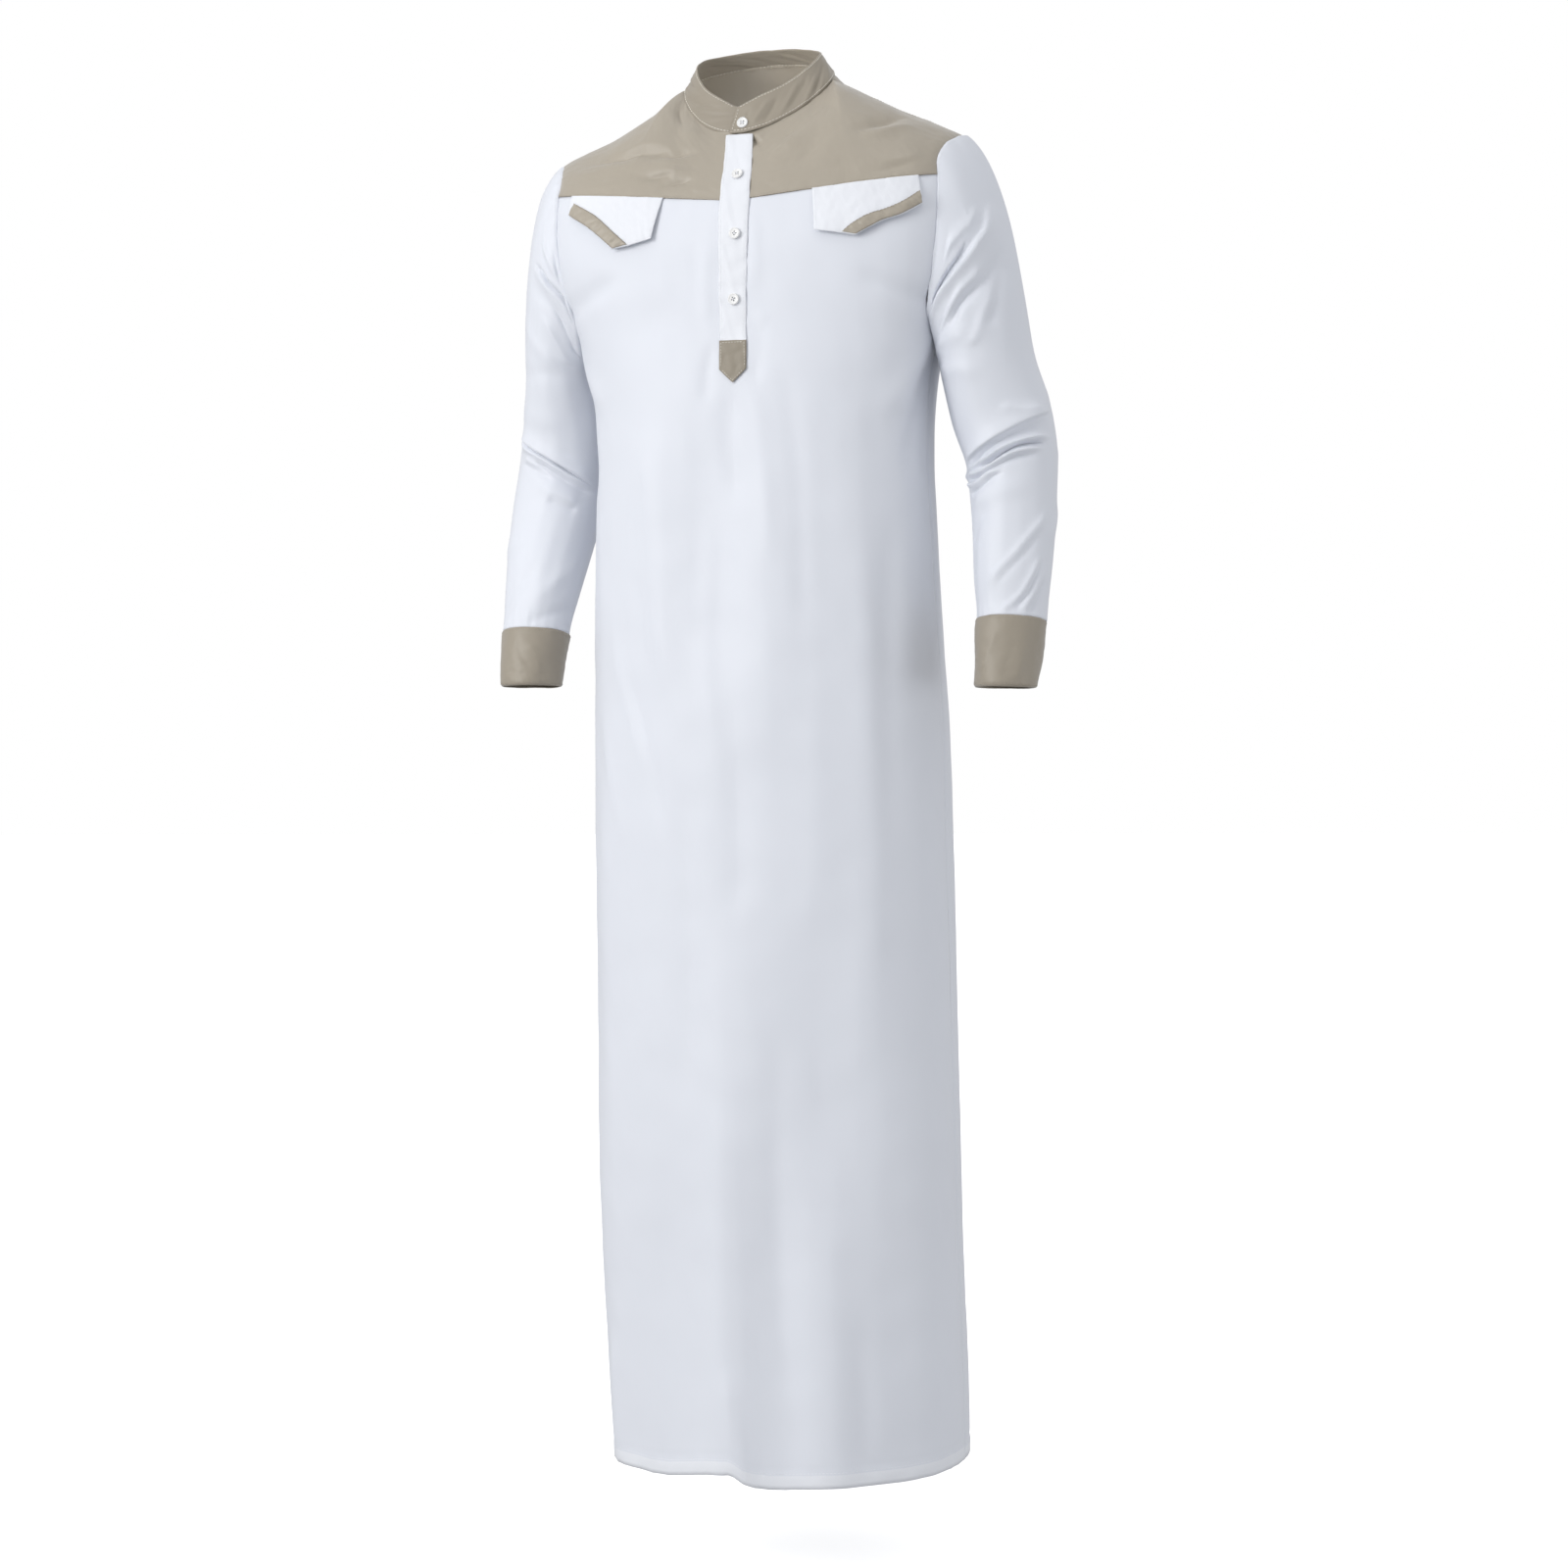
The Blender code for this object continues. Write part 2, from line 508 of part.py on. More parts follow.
def make_front():
    cols = front_columns()
    g = panel(False, cols)
    j = 12 + 1                                        # the column on the wearer's right of the slit
    for i, k in enumerate(ARM_LEVELS):
        z = YOKE_Z * (1 - k) + UNDERARM_Z * k
        for c in (j, j + 1):
            x = PLACKET_X + (SLIT_W / 2 if c == j + 1 else -SLIT_W / 2)
            t = x / float(ARC["front"](z))
            g[i, c] = cloth(np.array([t]), np.array([g[i, c][2]]))[0]
    slit = {(i, j) for i in range(len(ARM_LEVELS) - 1)}
    return sheet("front_body", g, WHITE, holes=slit)


def make_back():
    return sheet("back_body", panel(True, np.linspace(-1, 1, 27)), WHITE, flip=True)


# ------------------------------------------------------------------ yokes
YOKE_LEVELS = np.array([0.0, 0.16, 0.36, 0.58, 0.80, 1.0])


def yoke_grid(s, back=False, side=1):
    s = np.asarray(s, float)
    g = yoke(s[None, :], YOKE_LEVELS[:, None], back)
    return g * np.array([side, 1, 1])


def front_yoke_columns():
    first = (PLACKET_X + 0.0016) / 0.21
    return np.concatenate([[first, 0.10], np.linspace(0.20, NECK_SHARE, 4), np.linspace(NECK_SHARE, 1.0, 5)[1:]])


def make_yokes():
    cols = front_yoke_columns()
    left = yoke_grid(cols)
    far = cols.copy()
    far[0] = 0.004
    right = yoke_grid(far, side=-1)
    for g, edge in ((left, PLACKET_X + SLIT_W / 2), (right, PLACKET_X - SLIT_W / 2)):
        for i in range(len(g)):                       # the front edges run straight down beside the slit
            a, b = g[i, 0], g[i, 1]
            w = (edge - a[0]) / (b[0] - a[0])
            g[i, 0] = a + (b - a) * w
    trim = dict(first=0.0012, last=0.0006, right=0.0008)
    sheet("yoke_front_left", pull_in(left, **trim), TAN)
    sheet("yoke_front_right", pull_in(right, **trim), TAN, flip=True)
    half = np.concatenate([np.linspace(0, NECK_SHARE, 6), np.linspace(NECK_SHARE, 1.0, 5)[1:]])
    l = yoke_grid(half, back=True)
    r = yoke_grid(half[1:][::-1], back=True, side=-1)
    g = pull_in(np.concatenate([r, l], axis=1), first=0.0012, last=0.0006, left=0.0008, right=0.0008)
    sheet("yoke_back", g, TAN, flip=True)


# ------------------------------------------------------------------ sleeves and cuffs
SLEEVE_LEVELS = (0.0, 0.18, 0.42, 0.70, 1.0, 1.18, 1.34, 1.44, 1.56, 1.70, 1.86, 2.0)
CREASE_COLS = ("psi0", "v0", "psi1", "v1", "width", "depth")   # line on the sleeve, half width and depth in metres
CREASE_ROWS = {
    "left": (
        (5.60, 1.02, 0.90, 1.30, 0.013, 0.0045),
        (2.60, 1.36, 0.35, 1.30, 0.012, -0.0070),
        (2.55, 1.44, 0.60, 1.42, 0.014, 0.0055),
        (2.30, 0.20, 1.05, 0.75, 0.013, -0.0045),
        (1.00, 0.25, 1.90, 0.72, 0.014, 0.0045),
    ),
    "right": (
        (0.60, 1.36, 2.60, 1.52, 0.012, -0.0065),
        (0.50, 1.47, 2.40, 1.62, 0.014, 0.0050),
        (2.30, 0.25, 1.20, 0.75, 0.013, -0.0040),
        (1.00, 0.25, 1.90, 0.72, 0.014, 0.0040),
    ),
}
SLEEVE_GIRTH, SLEEVE_RUN = 0.30, 0.27      # arc for 2 pi and length for one step of v, used for crease widths


def crease_rise(side, psi, v):
    rise = np.zeros(np.broadcast(psi, v).shape)
    for p0, v0, p1, v1, width, depth in CREASE_ROWS[side]:
        a = np.array([p0 * SLEEVE_GIRTH / 6.283, v0 * SLEEVE_RUN])
        b = np.array([p1 * SLEEVE_GIRTH / 6.283, v1 * SLEEVE_RUN])
        best = None
        for turn in (-1, 0, 1):
            q = np.stack(np.broadcast_arrays((psi + turn * 2 * math.pi) * SLEEVE_GIRTH / 6.283, v * SLEEVE_RUN), -1)
            ab = b - a
            k = np.clip(((q - a) @ ab) / (ab @ ab), 0, 1)
            d = np.linalg.norm(q - a - k[..., None] * ab, axis=-1)
            e = np.exp(-(d / width) ** 2) * (0.35 + 0.65 * np.sin(math.pi * np.clip(k, 0.05, 0.95)))
            best = e if best is None else np.maximum(best, e)
        rise = rise + depth * best
    return rise


def sleeve_grid(side, levels, columns):
    psi = np.linspace(0, 2 * math.pi, columns, endpoint=False)[None, :]
    v = np.asarray(levels, float)[:, None]
    g = sleeve(side, psi, v)
    g = away(g, crease_rise(side, psi, v), closed=True)
    out = np.stack([np.full_like(psi[0], 0.75), -0.6 * np.sin(psi[0]), 0.9 * np.maximum(np.cos(psi[0]), 0)], -1)
    out /= np.linalg.norm(out, axis=-1, keepdims=True)
    keep = np.clip(1 - v[:, :, None] / 0.42, 0, 1)
    g = g + out[None] * 0.0026 * keep
    if side == "right":
        g = g * np.array([-1, 1, 1])
    return g


def make_sleeves():
    for side in ("left", "right"):
        flip = side == "left"
        g = sleeve_grid(side, SLEEVE_LEVELS, 20)
        g = pull_in(g, last=0.0006)
        sheet("sleeve_" + side, g, WHITE, closed=True, flip=not flip)
        c = sleeve_grid(side, (2.0, 2.5, 3.0), 24)
        c = pull_in(c, first=0.0006)
        sheet("cuff_" + side, c, TAN, thick=BAND, closed=True, flip=not flip)


# ------------------------------------------------------------------ collar
COLLAR_FROM, COLLAR_TO, COLLAR_SLANT = -0.10, -0.085, 0.085      # angles of its two ends; the far one laps over the near one
COLLAR_LAP = 0.0024                        # how far the lapping end lies outside the other


def collar_grid(columns=44, rows=4):
    v = np.linspace(0, 1, rows)[:, None]
    a = np.linspace(COLLAR_TO, 2 * math.pi - COLLAR_FROM, columns)[None]      # on +X the angle is positive
    a = a + COLLAR_SLANT * v * np.exp(-(a - COLLAR_TO) / 0.15)                 # the lapping end is cut on a slant
    low, top = neck(a), collar_top(a)
    rise = top - low
    v = v[..., None]
    g = low * (1 - v) + top * v + rise / np.linalg.norm(rise, axis=-1, keepdims=True) * 0.0022 * (1 - v)
    lap = COLLAR_LAP * (1 - smooth((a - 0.25) / 0.75))               # the end on the wearer's left lies outside
    tuck = -0.0002 * smooth((a - 5.4) / 0.6)
    out = np.stack([np.sin(a) / NECK_W, -np.cos(a) / NECK_F, np.zeros_like(a)], -1)
    out /= np.linalg.norm(out, axis=-1, keepdims=True)
    return g + out * (lap + tuck)[..., None]


def make_collar():
    sheet("collar", collar_grid(), TAN, thick=BAND)


# ------------------------------------------------------------------ placket
def front_line(x, z):
    """Point of the front at x near the centre and height z, on the yokes or the panel below them."""
    if z <= YOKE_Z:
        return cloth(np.array([x / float(ARC["front"](z))]), np.array([z]))[0]
    v = np.linspace(0, 1, 60)
    best = None
    for s in np.linspace(0.0, 0.16, 33):
        col = yoke(np.full_like(v, s), v)
        p = np.array([np.interp(-z, -col[:, 2], col[:, k]) for k in range(3)])
        gap = abs(p[0] - abs(x))
        if best is None or gap < best[0]:
            best = (gap, p)
    p = best[1]
    return np.array([x, p[1], z])


PLACKET_TAPER = curve((-0.300, -0.270, -0.200, -0.130, -0.060), (0.90, 0.91, 0.97, 1.02, 0.91))


def placket_grid(width, zs, out, x0=PLACKET_X, cols=5):
    g = np.array([[front_line(x0 + w * width * PLACKET_TAPER(z), z) for w in np.linspace(-0.5, 0.5, cols)] for z in zs])
    return away(g, -out)


def placket_heights(top, bottom, steps):
    return np.linspace(top, bottom, steps)


PLACKET_OUT = 0.0024       # centre of the upper strip in front of the centre of the panel
TAB_OUT = 0.0044


def make_placket():
    top = float(neck(0.0)[2]) - 0.0028
    zs = placket_heights(top, PLACKET_END, 14)
    sheet("placket", placket_grid(PLACKET_W, zs, PLACKET_OUT), WHITE, thick=BAND)
    zs = placket_heights(top - 0.003, SLIT_END - 0.006, 12)
    sheet("placket_under", placket_grid(PLACKET_W - 0.006, zs, -0.0026), WHITE, thick=BAND)
    zs = np.array([PLACKET_END + 0.0006, -0.2860, TAB_SHOULDER])
    g = placket_grid(PLACKET_W + 0.0006, zs, PLACKET_OUT)
    ends = placket_grid(PLACKET_W + 0.0006, np.array([TAB_SHOULDER, TAB_SHOULDER - 0.004]), PLACKET_OUT)[0]
    point = []
    for k, c in enumerate(np.linspace(-1, 1, 5)):
        z = TAB_END + (TAB_SHOULDER - TAB_END) * abs(c)
        p = front_line(PLACKET_X + c * (PLACKET_W + 0.0006) / 2 * float(PLACKET_TAPER(z)), z)
        point.append(p + np.array([0, -PLACKET_OUT, 0]))
    g[0] = g[0] + np.array([0, 0, -0.0012])
    g[2, 0] = g[2, 0] + np.array([0, 0, 0.004])
    g[2, -1] = g[2, -1] + np.array([0, 0, 0.004])
    g = np.concatenate([g, np.array(point)[None]])
    sheet("placket_tab", g, TAN, thick=BAND)


# ------------------------------------------------------------------ pocket flaps and their trims
FLAP_COLS = ("k", "t", "z")      # lower edge: share of the width, arc share on the front, height
FLAP = {
    "right": {"top": (-0.276, -0.688), "low": (
        (0.00, -0.303, -0.1677), (0.25, -0.394, -0.1738), (0.42, -0.457, -0.1761), (0.52, -0.490, -0.1675),
        (0.70, -0.558, -0.1535), (1.00, -0.678, -0.1361))},
    "left": {"top": (0.311, 0.715), "low": (
        (0.00, 0.324, -0.1677), (0.24, 0.420, -0.1720), (0.39, 0.477, -0.1748), (0.52, 0.521, -0.1684),
        (0.64, 0.570, -0.1615), (0.80, 0.637, -0.1556), (1.00, 0.713, -0.1443))},
}
TRIM_COLS = ("upper_t", "upper_z", "lower_t", "lower_z")      # trim edges from the flap's point outwards
TRIM = {
    "right": ((-0.394, -0.1722, -0.453, -0.1754), (-0.447, -0.1600, -0.486, -0.1674), (-0.531, -0.1418, -0.553, -0.1534),
              (-0.660, -0.1239, -0.670, -0.1361)),
    "left": ((0.427, -0.1711, 0.478, -0.1738), (0.466, -0.1630, 0.522, -0.1675), (0.525, -0.1543, 0.570, -0.1604),
             (0.580, -0.1493, 0.603, -0.1578), (0.639, -0.1429, 0.636, -0.1546), (0.709, -0.1307, 0.711, -0.1435)),
}
TRIM_OUT = 0.0028           # centre of a trim in front of the centre of its flap


def flap_top(t):
    """Height of a flap's sewn edge, just under the yoke seam."""
    return seam_z(np.abs(t) / 0.79) - 0.0030


def flap_surface(t, z, out=0.0):
    """Point on a flap: the front moved out, more towards the free edge."""
    n = section_normal(t, z) + np.array([0, 0, 0.12])
    n /= np.linalg.norm(n, axis=-1, keepdims=True)
    stand = 0.0024 + FLAP_STANDOFF * smooth((flap_top(t) - z) / 0.05)
    return cloth(t, z) + n * (stand + out)[..., None]


def flap_grid(side, k, m):
    """Points of a flap: k inner to outer edge, m sewn to free edge."""
    low = np.array(FLAP[side]["low"])
    t0 = FLAP[side]["top"][0] + (FLAP[side]["top"][1] - FLAP[side]["top"][0]) * k
    z0 = flap_top(t0)
    t1, z1 = np.interp(k, low[:, 0], low[:, 1]), np.interp(k, low[:, 0], low[:, 2])
    return flap_surface(t0 + (t1 - t0) * m, z0 + (z1 - z0) * m, 0.0 * k)


def make_flaps():
    for side in ("right", "left"):
        k = np.array(sorted([0.12, 0.86] + [row[0] for row in FLAP[side]["low"]]))
        K, M = np.meshgrid(k, np.array([0.0, 0.34, 0.67, 1.0]))
        sheet("pocket_flap_" + side, flap_grid(side, K, M), WHITE, flip=side == "right")
        ut, uz, lt, lz = np.array(TRIM[side]).T
        rows = [flap_surface(ut + (lt - ut) * w, uz + (lz - uz) * w, np.full_like(ut, TRIM_OUT)) for w in (0.0, 0.5, 1.0)]
        sheet("flap_trim_" + side, np.array(rows), TAN, flip=side == "right")


# ------------------------------------------------------------------ buttons
def make_button(name, centre, normal):
    """Four-hole button: a turned disc with a raised rim and a hollowed face, drilled through."""
    profile = ((0.0, 0.0), (BUTTON_R * 0.86, 0.0), (BUTTON_R, 0.0007), (BUTTON_R, 0.0019),
               (BUTTON_R * 0.90, BUTTON_T), (BUTTON_R * 0.74, BUTTON_T), (BUTTON_R * 0.62, 0.0019), (0.0, 0.0018))
    n = 24
    bm = bmesh.new()
    rings = []
    for r, h in profile:
        if r == 0:
            rings.append([bm.verts.new((0, 0, h))])
        else:
            rings.append([bm.verts.new((r * math.cos(a), r * math.sin(a), h))
                          for a in np.linspace(0, 2 * math.pi, n, endpoint=False)])
    for lo, hi in zip(rings, rings[1:]):
        for j in range(n):
            k = (j + 1) % n
            if len(lo) == 1:
                bm.faces.new((lo[0], hi[k], hi[j]))
            elif len(hi) == 1:
                bm.faces.new((lo[j], lo[k], hi[0]))
            else:
                bm.faces.new((lo[j], lo[k], hi[k], hi[j]))
    mesh = bpy.data.meshes.new(name)
    bm.to_mesh(mesh)
    bm.free()
    ob = bpy.data.objects.new(name, mesh)
    PART.objects.link(ob)
    mesh.materials.append(material(name + "_look", PEARL, 0.35))
    z = Vector(normal).normalized()
    x = Vector((0, 0, 1)).cross(z).normalized()
    y = z.cross(x)
    place = Matrix((x, y, z)).transposed().to_4x4()
    place.translation = Vector(centre)
    ob.matrix_world = place
    cutter = bpy.data.meshes.new(name + "_holes")
    bm = bmesh.new()
    for a in range(4):
        ang = math.pi / 4 + a * math.pi / 2
        off = Matrix.Translation((BUTTON_HOLE_AT * math.cos(ang), BUTTON_HOLE_AT * math.sin(ang), BUTTON_T / 2))
        bmesh.ops.create_cone(bm, cap_ends=True, segments=8, radius1=BUTTON_HOLE_R, radius2=BUTTON_HOLE_R,
                              depth=BUTTON_T * 3, matrix=off)
    bm.to_mesh(cutter)
    bm.free()
    cut = bpy.data.objects.new(name + "_holes", cutter)
    CUT.objects.link(cut)
    cut.matrix_world = place
    cut.hide_render = True
    cut.display_type = "WIRE"
    mod = ob.modifiers.new("holes", "BOOLEAN")
    mod.operation = "DIFFERENCE"
    mod.solver = "EXACT"
    mod.object = cut


BUTTON_AT = {"button_1": (0.0030, -0.1078), "button_2": (0.0056, -0.1668), "button_3": (0.0045, -0.2312)}      # across, up


def make_buttons():
    for name, (x, z) in BUTTON_AT.items():
        g = placket_grid(0.008, np.array([z + 0.004, z, z - 0.004]), PLACKET_OUT, x0=x, cols=3)
        n = np.cross(g[1, 2] - g[1, 0], g[2, 1] - g[0, 1])
        n = -n if n[1] > 0 else n
        n /= np.linalg.norm(n)
        make_button(name, g[1, 1] + n * (BAND / 2 + 0.0005), n)
    g = collar_grid(columns=176, rows=5)
    a = np.linspace(COLLAR_TO, 2 * math.pi - COLLAR_FROM, 176)
    j = int(np.argmin(np.abs(a + 0.052)))
    c, du, dv = g[2, j], g[2, j + 1] - g[2, j - 1], g[3, j] - g[1, j]
    n = np.cross(du, dv)
    n = -n if n[1] > 0 else n
    n /= np.linalg.norm(n)
    make_button("button_collar", c + n * (BAND / 2 + 0.0019), n)


# ------------------------------------------------------------------ build
clear()
PART = bpy.data.collections.new("thobe_robe")
CUT = bpy.data.collections.new("thobe_robe_cutters")
bpy.context.scene.collection.children.link(PART)
bpy.context.scene.collection.children.link(CUT)

make_front()
make_back()
make_yokes()
make_collar()
make_placket()
make_sleeves()
make_flaps()
make_buttons()
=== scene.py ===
"""Looks of the thobe robe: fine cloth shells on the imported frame, stitches, buttons, cloth materials, light."""
import math

import bmesh
import bpy
import numpy as np
from mathutils import Matrix, Vector


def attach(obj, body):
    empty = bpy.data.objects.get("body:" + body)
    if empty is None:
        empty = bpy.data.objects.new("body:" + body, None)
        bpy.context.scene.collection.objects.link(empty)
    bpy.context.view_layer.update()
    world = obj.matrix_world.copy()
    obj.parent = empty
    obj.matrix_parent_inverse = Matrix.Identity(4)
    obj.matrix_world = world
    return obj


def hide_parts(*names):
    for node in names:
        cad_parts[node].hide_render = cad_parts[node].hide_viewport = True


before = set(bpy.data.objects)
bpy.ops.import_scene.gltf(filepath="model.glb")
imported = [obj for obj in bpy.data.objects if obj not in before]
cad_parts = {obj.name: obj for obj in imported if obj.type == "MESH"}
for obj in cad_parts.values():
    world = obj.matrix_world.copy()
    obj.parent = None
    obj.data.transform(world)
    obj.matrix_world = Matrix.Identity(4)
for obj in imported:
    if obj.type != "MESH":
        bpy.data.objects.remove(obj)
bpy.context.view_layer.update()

# ------------------------------------------------------------------ sizes, metres
CLOTH_SHOWN = 0.0009    # thickness of a cloth wall as it is seen
BAND = 0.0016           # thickness of the collar, the cuffs and the placket strips
HEM_Z = -1.3985         # hem, below the neck side point
YOKE_Z = -0.1315        # front yoke seam at centre front
YOKE_RISE = 0.0195      # how much higher the front yoke seam ends at the armhole
BACK_YOKE_Z = -0.118    # back yoke seam at centre back
BACK_YOKE_DROP = 0.006  # how much lower it ends at the armhole
UNDERARM_Z = -0.266
NECK_W, NECK_F, NECK_B = 0.0775, 0.0530, 0.0650   # neck seam: half width, depth to the front, depth to the back
NECK_TILT = (-0.0140, -0.0410, -0.0080, -0.0025)  # its height: these times cos 0, cos 1, cos 2, cos 3 of the angle
COLLAR_W, COLLAR_F, COLLAR_B = 0.0635, 0.0430, 0.0460   # the same of the collar's top edge
SHOULDER_TIP = (0.2137, 0.004, -0.070)
NECK_SHARE = 0.55       # share of the yoke's columns that end on the neck seam
PLACKET_X, PLACKET_W, PLACKET_END = 0.003, 0.0305, -0.2720
TAB_END, TAB_SHOULDER = -0.3135, -0.3000
SLIT_END, SLIT_W = -0.2600, 0.0024
BUTTON_R, BUTTON_T, BUTTON_HOLE_R, BUTTON_HOLE_AT = 0.00575, 0.0026, 0.00075, 0.0017
FLAP_STANDOFF = 0.0045  # how far a flap's free edge stands off the front

BODY_COLS = ("z", "half", "front", "back", "mid", "square")
BODY_ROWS = (
    (-0.060, 0.2090, 0.0660, 0.0800, 0.000, 3.3),
    (-0.100, 0.2100, 0.0800, 0.0980, 0.000, 3.4),
    (-0.130, 0.2100, 0.0910, 0.1080, 0.000, 3.6),
    (-0.165, 0.2080, 0.0995, 0.1150, 0.000, 3.6),
    (-0.210, 0.2010, 0.1025, 0.1190, 0.000, 3.4),
    (-0.260, 0.1850, 0.1040, 0.1210, 0.000, 3.1),
    (-0.310, 0.1745, 0.1080, 0.1220, 0.000, 2.8),
    (-0.380, 0.1715, 0.1110, 0.1220, -0.001, 2.6),
    (-0.450, 0.1740, 0.1140, 0.1240, -0.001, 2.5),
    (-0.550, 0.1775, 0.1190, 0.1310, -0.0005, 2.4),
    (-0.650, 0.1810, 0.1240, 0.1390, 0.001, 2.35),
    (-0.800, 0.1835, 0.1310, 0.1460, 0.001, 2.3),
    (-1.000, 0.1847, 0.1410, 0.1560, 0.0022, 2.2),
    (-1.200, 0.1845, 0.1520, 0.1680, 0.0055, 2.1),
    (-1.330, 0.1828, 0.1610, 0.1770, 0.0100, 2.05),
    (-1.410, 0.1805, 0.1670, 0.1830, 0.0120, 2.0),
)
ARM_COLS = ("z", "front", "back")     # where the armhole cuts the section, as a share of the quarter arc
ARM_ROWS = (
    (-0.100, 0.800, 0.790),
    (-0.1125, 0.795, 0.787),
    (-0.140, 0.785, 0.780),
    (-0.165, 0.780, 0.776),
    (-0.210, 0.782, 0.776),
    (-0.235, 0.800, 0.792),
    (-0.250, 0.830, 0.822),
    (-0.258, 0.870, 0.865),
    (-0.2635, 0.930, 0.930),
    (-0.266, 1.000, 1.000),
)
SHOULDER_COLS = ("x", "y", "z")
SHOULDER_ROWS = (
    (0.0775, 0.0000, -0.0050),
    (0.0950, 0.0030, -0.0135),
    (0.1150, 0.0050, -0.0235),
    (0.1500, 0.0070, -0.0410),
    (0.1850, 0.0060, -0.0560),
    (0.2137, 0.0040, -0.0700),
)

def curve(xs, ys):
    xs, ys = np.asarray(xs, float), np.asarray(ys, float)
    if xs[0] > xs[-1]:
        xs, ys = xs[::-1], ys[::-1]
    h = np.diff(xs); d = np.diff(ys) / h
    m = np.empty_like(ys); m[0], m[-1] = d[0], d[-1]
    m[1:-1] = (d[:-1] * h[1:] + d[1:] * h[:-1]) / (h[:-1] + h[1:])
    def at(q):
        q = np.clip(np.asarray(q, float), xs[0], xs[-1])
        i = np.clip(np.searchsorted(xs, q, side="right") - 1, 0, len(h) - 1)
        t = (q - xs[i]) / h[i]
        return (ys[i] * (2*t**3 - 3*t**2 + 1) + m[i]*h[i] * (t**3 - 2*t**2 + t)
                + ys[i+1] * (3*t**2 - 2*t**3) + m[i+1]*h[i] * (t**3 - t**2))
    return at

def columns(names, rows, key):
    a = np.array(rows, float)
    k = a[:, names.index(key)]
    return {n: curve(k, a[:, i]) for i, n in enumerate(names) if n != key}

BODY = columns(BODY_COLS, BODY_ROWS, "z")
ARM = columns(ARM_COLS, ARM_ROWS, "z")
SHOULDER = columns(SHOULDER_COLS, SHOULDER_ROWS, "x")

def smooth(t):
    t = np.clip(t, 0.0, 1.0)
    return t * t * (3 - 2 * t)

SHOULDER_DROP = 0.0095  # the wearer's right shoulder line hangs this much lower halfway along it

NECK_SHIFT = 0.0080, 0.0044     # the fastened front of the neck sits this far to the wearer's right, and higher

def settle(p):
    """Lets the wearer's right shoulder down and shifts the front of the neck; every piece's points go through it,
    so seams stay together."""
    p = np.array(p, float)
    x, z = -p[..., 0], p[..., 2]
    w = smooth((x - 0.074) / 0.032) * (1 - 0.35 * smooth((x - 0.15) / 0.06))
    p[..., 2] -= SHOULDER_DROP * w * smooth((z + 0.118) / 0.060)
    x, y, z = p[..., 0], p[..., 1], p[..., 2].copy()
    w = np.clip(1 - (x / 0.082) ** 2, 0, 1) ** 2 * smooth((0.010 - y) / 0.055)
    w = w * smooth((z + 0.128) / 0.080)
    p[..., 0] -= NECK_SHIFT[0] * w
    p[..., 2] += NECK_SHIFT[1] * w
    return p

# arc-length lookup
_Z = np.linspace(-1.42, -0.055, 274)
_T = np.linspace(0, 1, 101)
def _angles(depth):
    out = []
    phi = np.linspace(0, math.pi / 2, 241)
    for z in _Z:
        a, b, n = BODY["half"](z), depth(z), BODY["square"](z)
        r = ((np.cos(phi) / b) ** n + (np.sin(phi) / a) ** n) ** (-1 / n)
        p = np.stack([r * np.sin(phi), r * np.cos(phi)])
        s = np.concatenate([[0], np.cumsum(np.linalg.norm(np.diff(p, axis=1), axis=0))])
        out.append(np.interp(_T, s / s[-1], phi))
    return np.array(out)
PHI = {"front": _angles(BODY["front"]), "back": _angles(BODY["back"])}

def _lookup(table, t, z):
    i = np.clip((z - _Z[0]) / (_Z[1] - _Z[0]), 0, len(_Z) - 1.001)
    j = np.clip(t * (len(_T) - 1), 0, len(_T) - 1.001)
    i0, j0 = i.astype(int), j.astype(int)
    fi, fj = i - i0, j - j0
    return ((1-fi)*(1-fj)*table[i0, j0] + fi*(1-fj)*table[i0+1, j0]
            + (1-fi)*fj*table[i0, j0+1] + fi*fj*table[i0+1, j0+1])

def body(t, z):
    """Section at height z: t is 0 at centre front, 1 at the side seam, 2 at centre back, on +X; negative on -X."""
    t, z = np.broadcast_arrays(np.asarray(t, float), np.asarray(z, float))
    side = np.where(t < 0, -1.0, 1.0); u = np.abs(t)
    fr = u <= 1
    q = np.where(fr, u, 2 - u)
    phi = np.where(fr, _lookup(PHI["front"], q, z), _lookup(PHI["back"], q, z))
    a, n = BODY["half"](z), BODY["square"](z)
    b = np.where(fr, BODY["front"](z), BODY["back"](z))
    r = ((np.abs(np.cos(phi)) / b) ** n + (np.abs(np.sin(phi)) / a) ** n) ** (-1 / n)
    x = BODY["mid"](z) + side * r * np.sin(phi)
    y = np.where(fr, -1.0, 1.0) * r * np.cos(phi)
    return np.stack([x, y, z], axis=-1)

def neck(th):
    """Neck seam: th 0 centre front, pi/2 the +X side, pi centre back."""
    th = np.asarray(th, float)
    z = sum(c * np.cos(k * th) for k, c in enumerate(NECK_TILT))
    y = np.where(np.cos(th) > 0, -NECK_F, -NECK_B) * np.cos(th)
    return np.stack([NECK_W * np.sin(th), y, z], -1)

def collar_top(th):
    th = np.asarray(th, float)
    n = neck(th)
    h = COLLAR_H(np.abs(np.arctan2(np.sin(th), np.cos(th))))
    y = np.where(np.cos(th) > 0, -COLLAR_F, -COLLAR_B) * np.cos(th)
    return np.stack([COLLAR_W * np.sin(th), y, n[..., 2] + h], -1)
COLLAR_H = curve((0, 0.30, 0.8, math.pi/2, 2.4, math.pi + 1e-6), (0.0285, 0.0340, 0.0315, 0.0260, 0.0185, 0.0155))

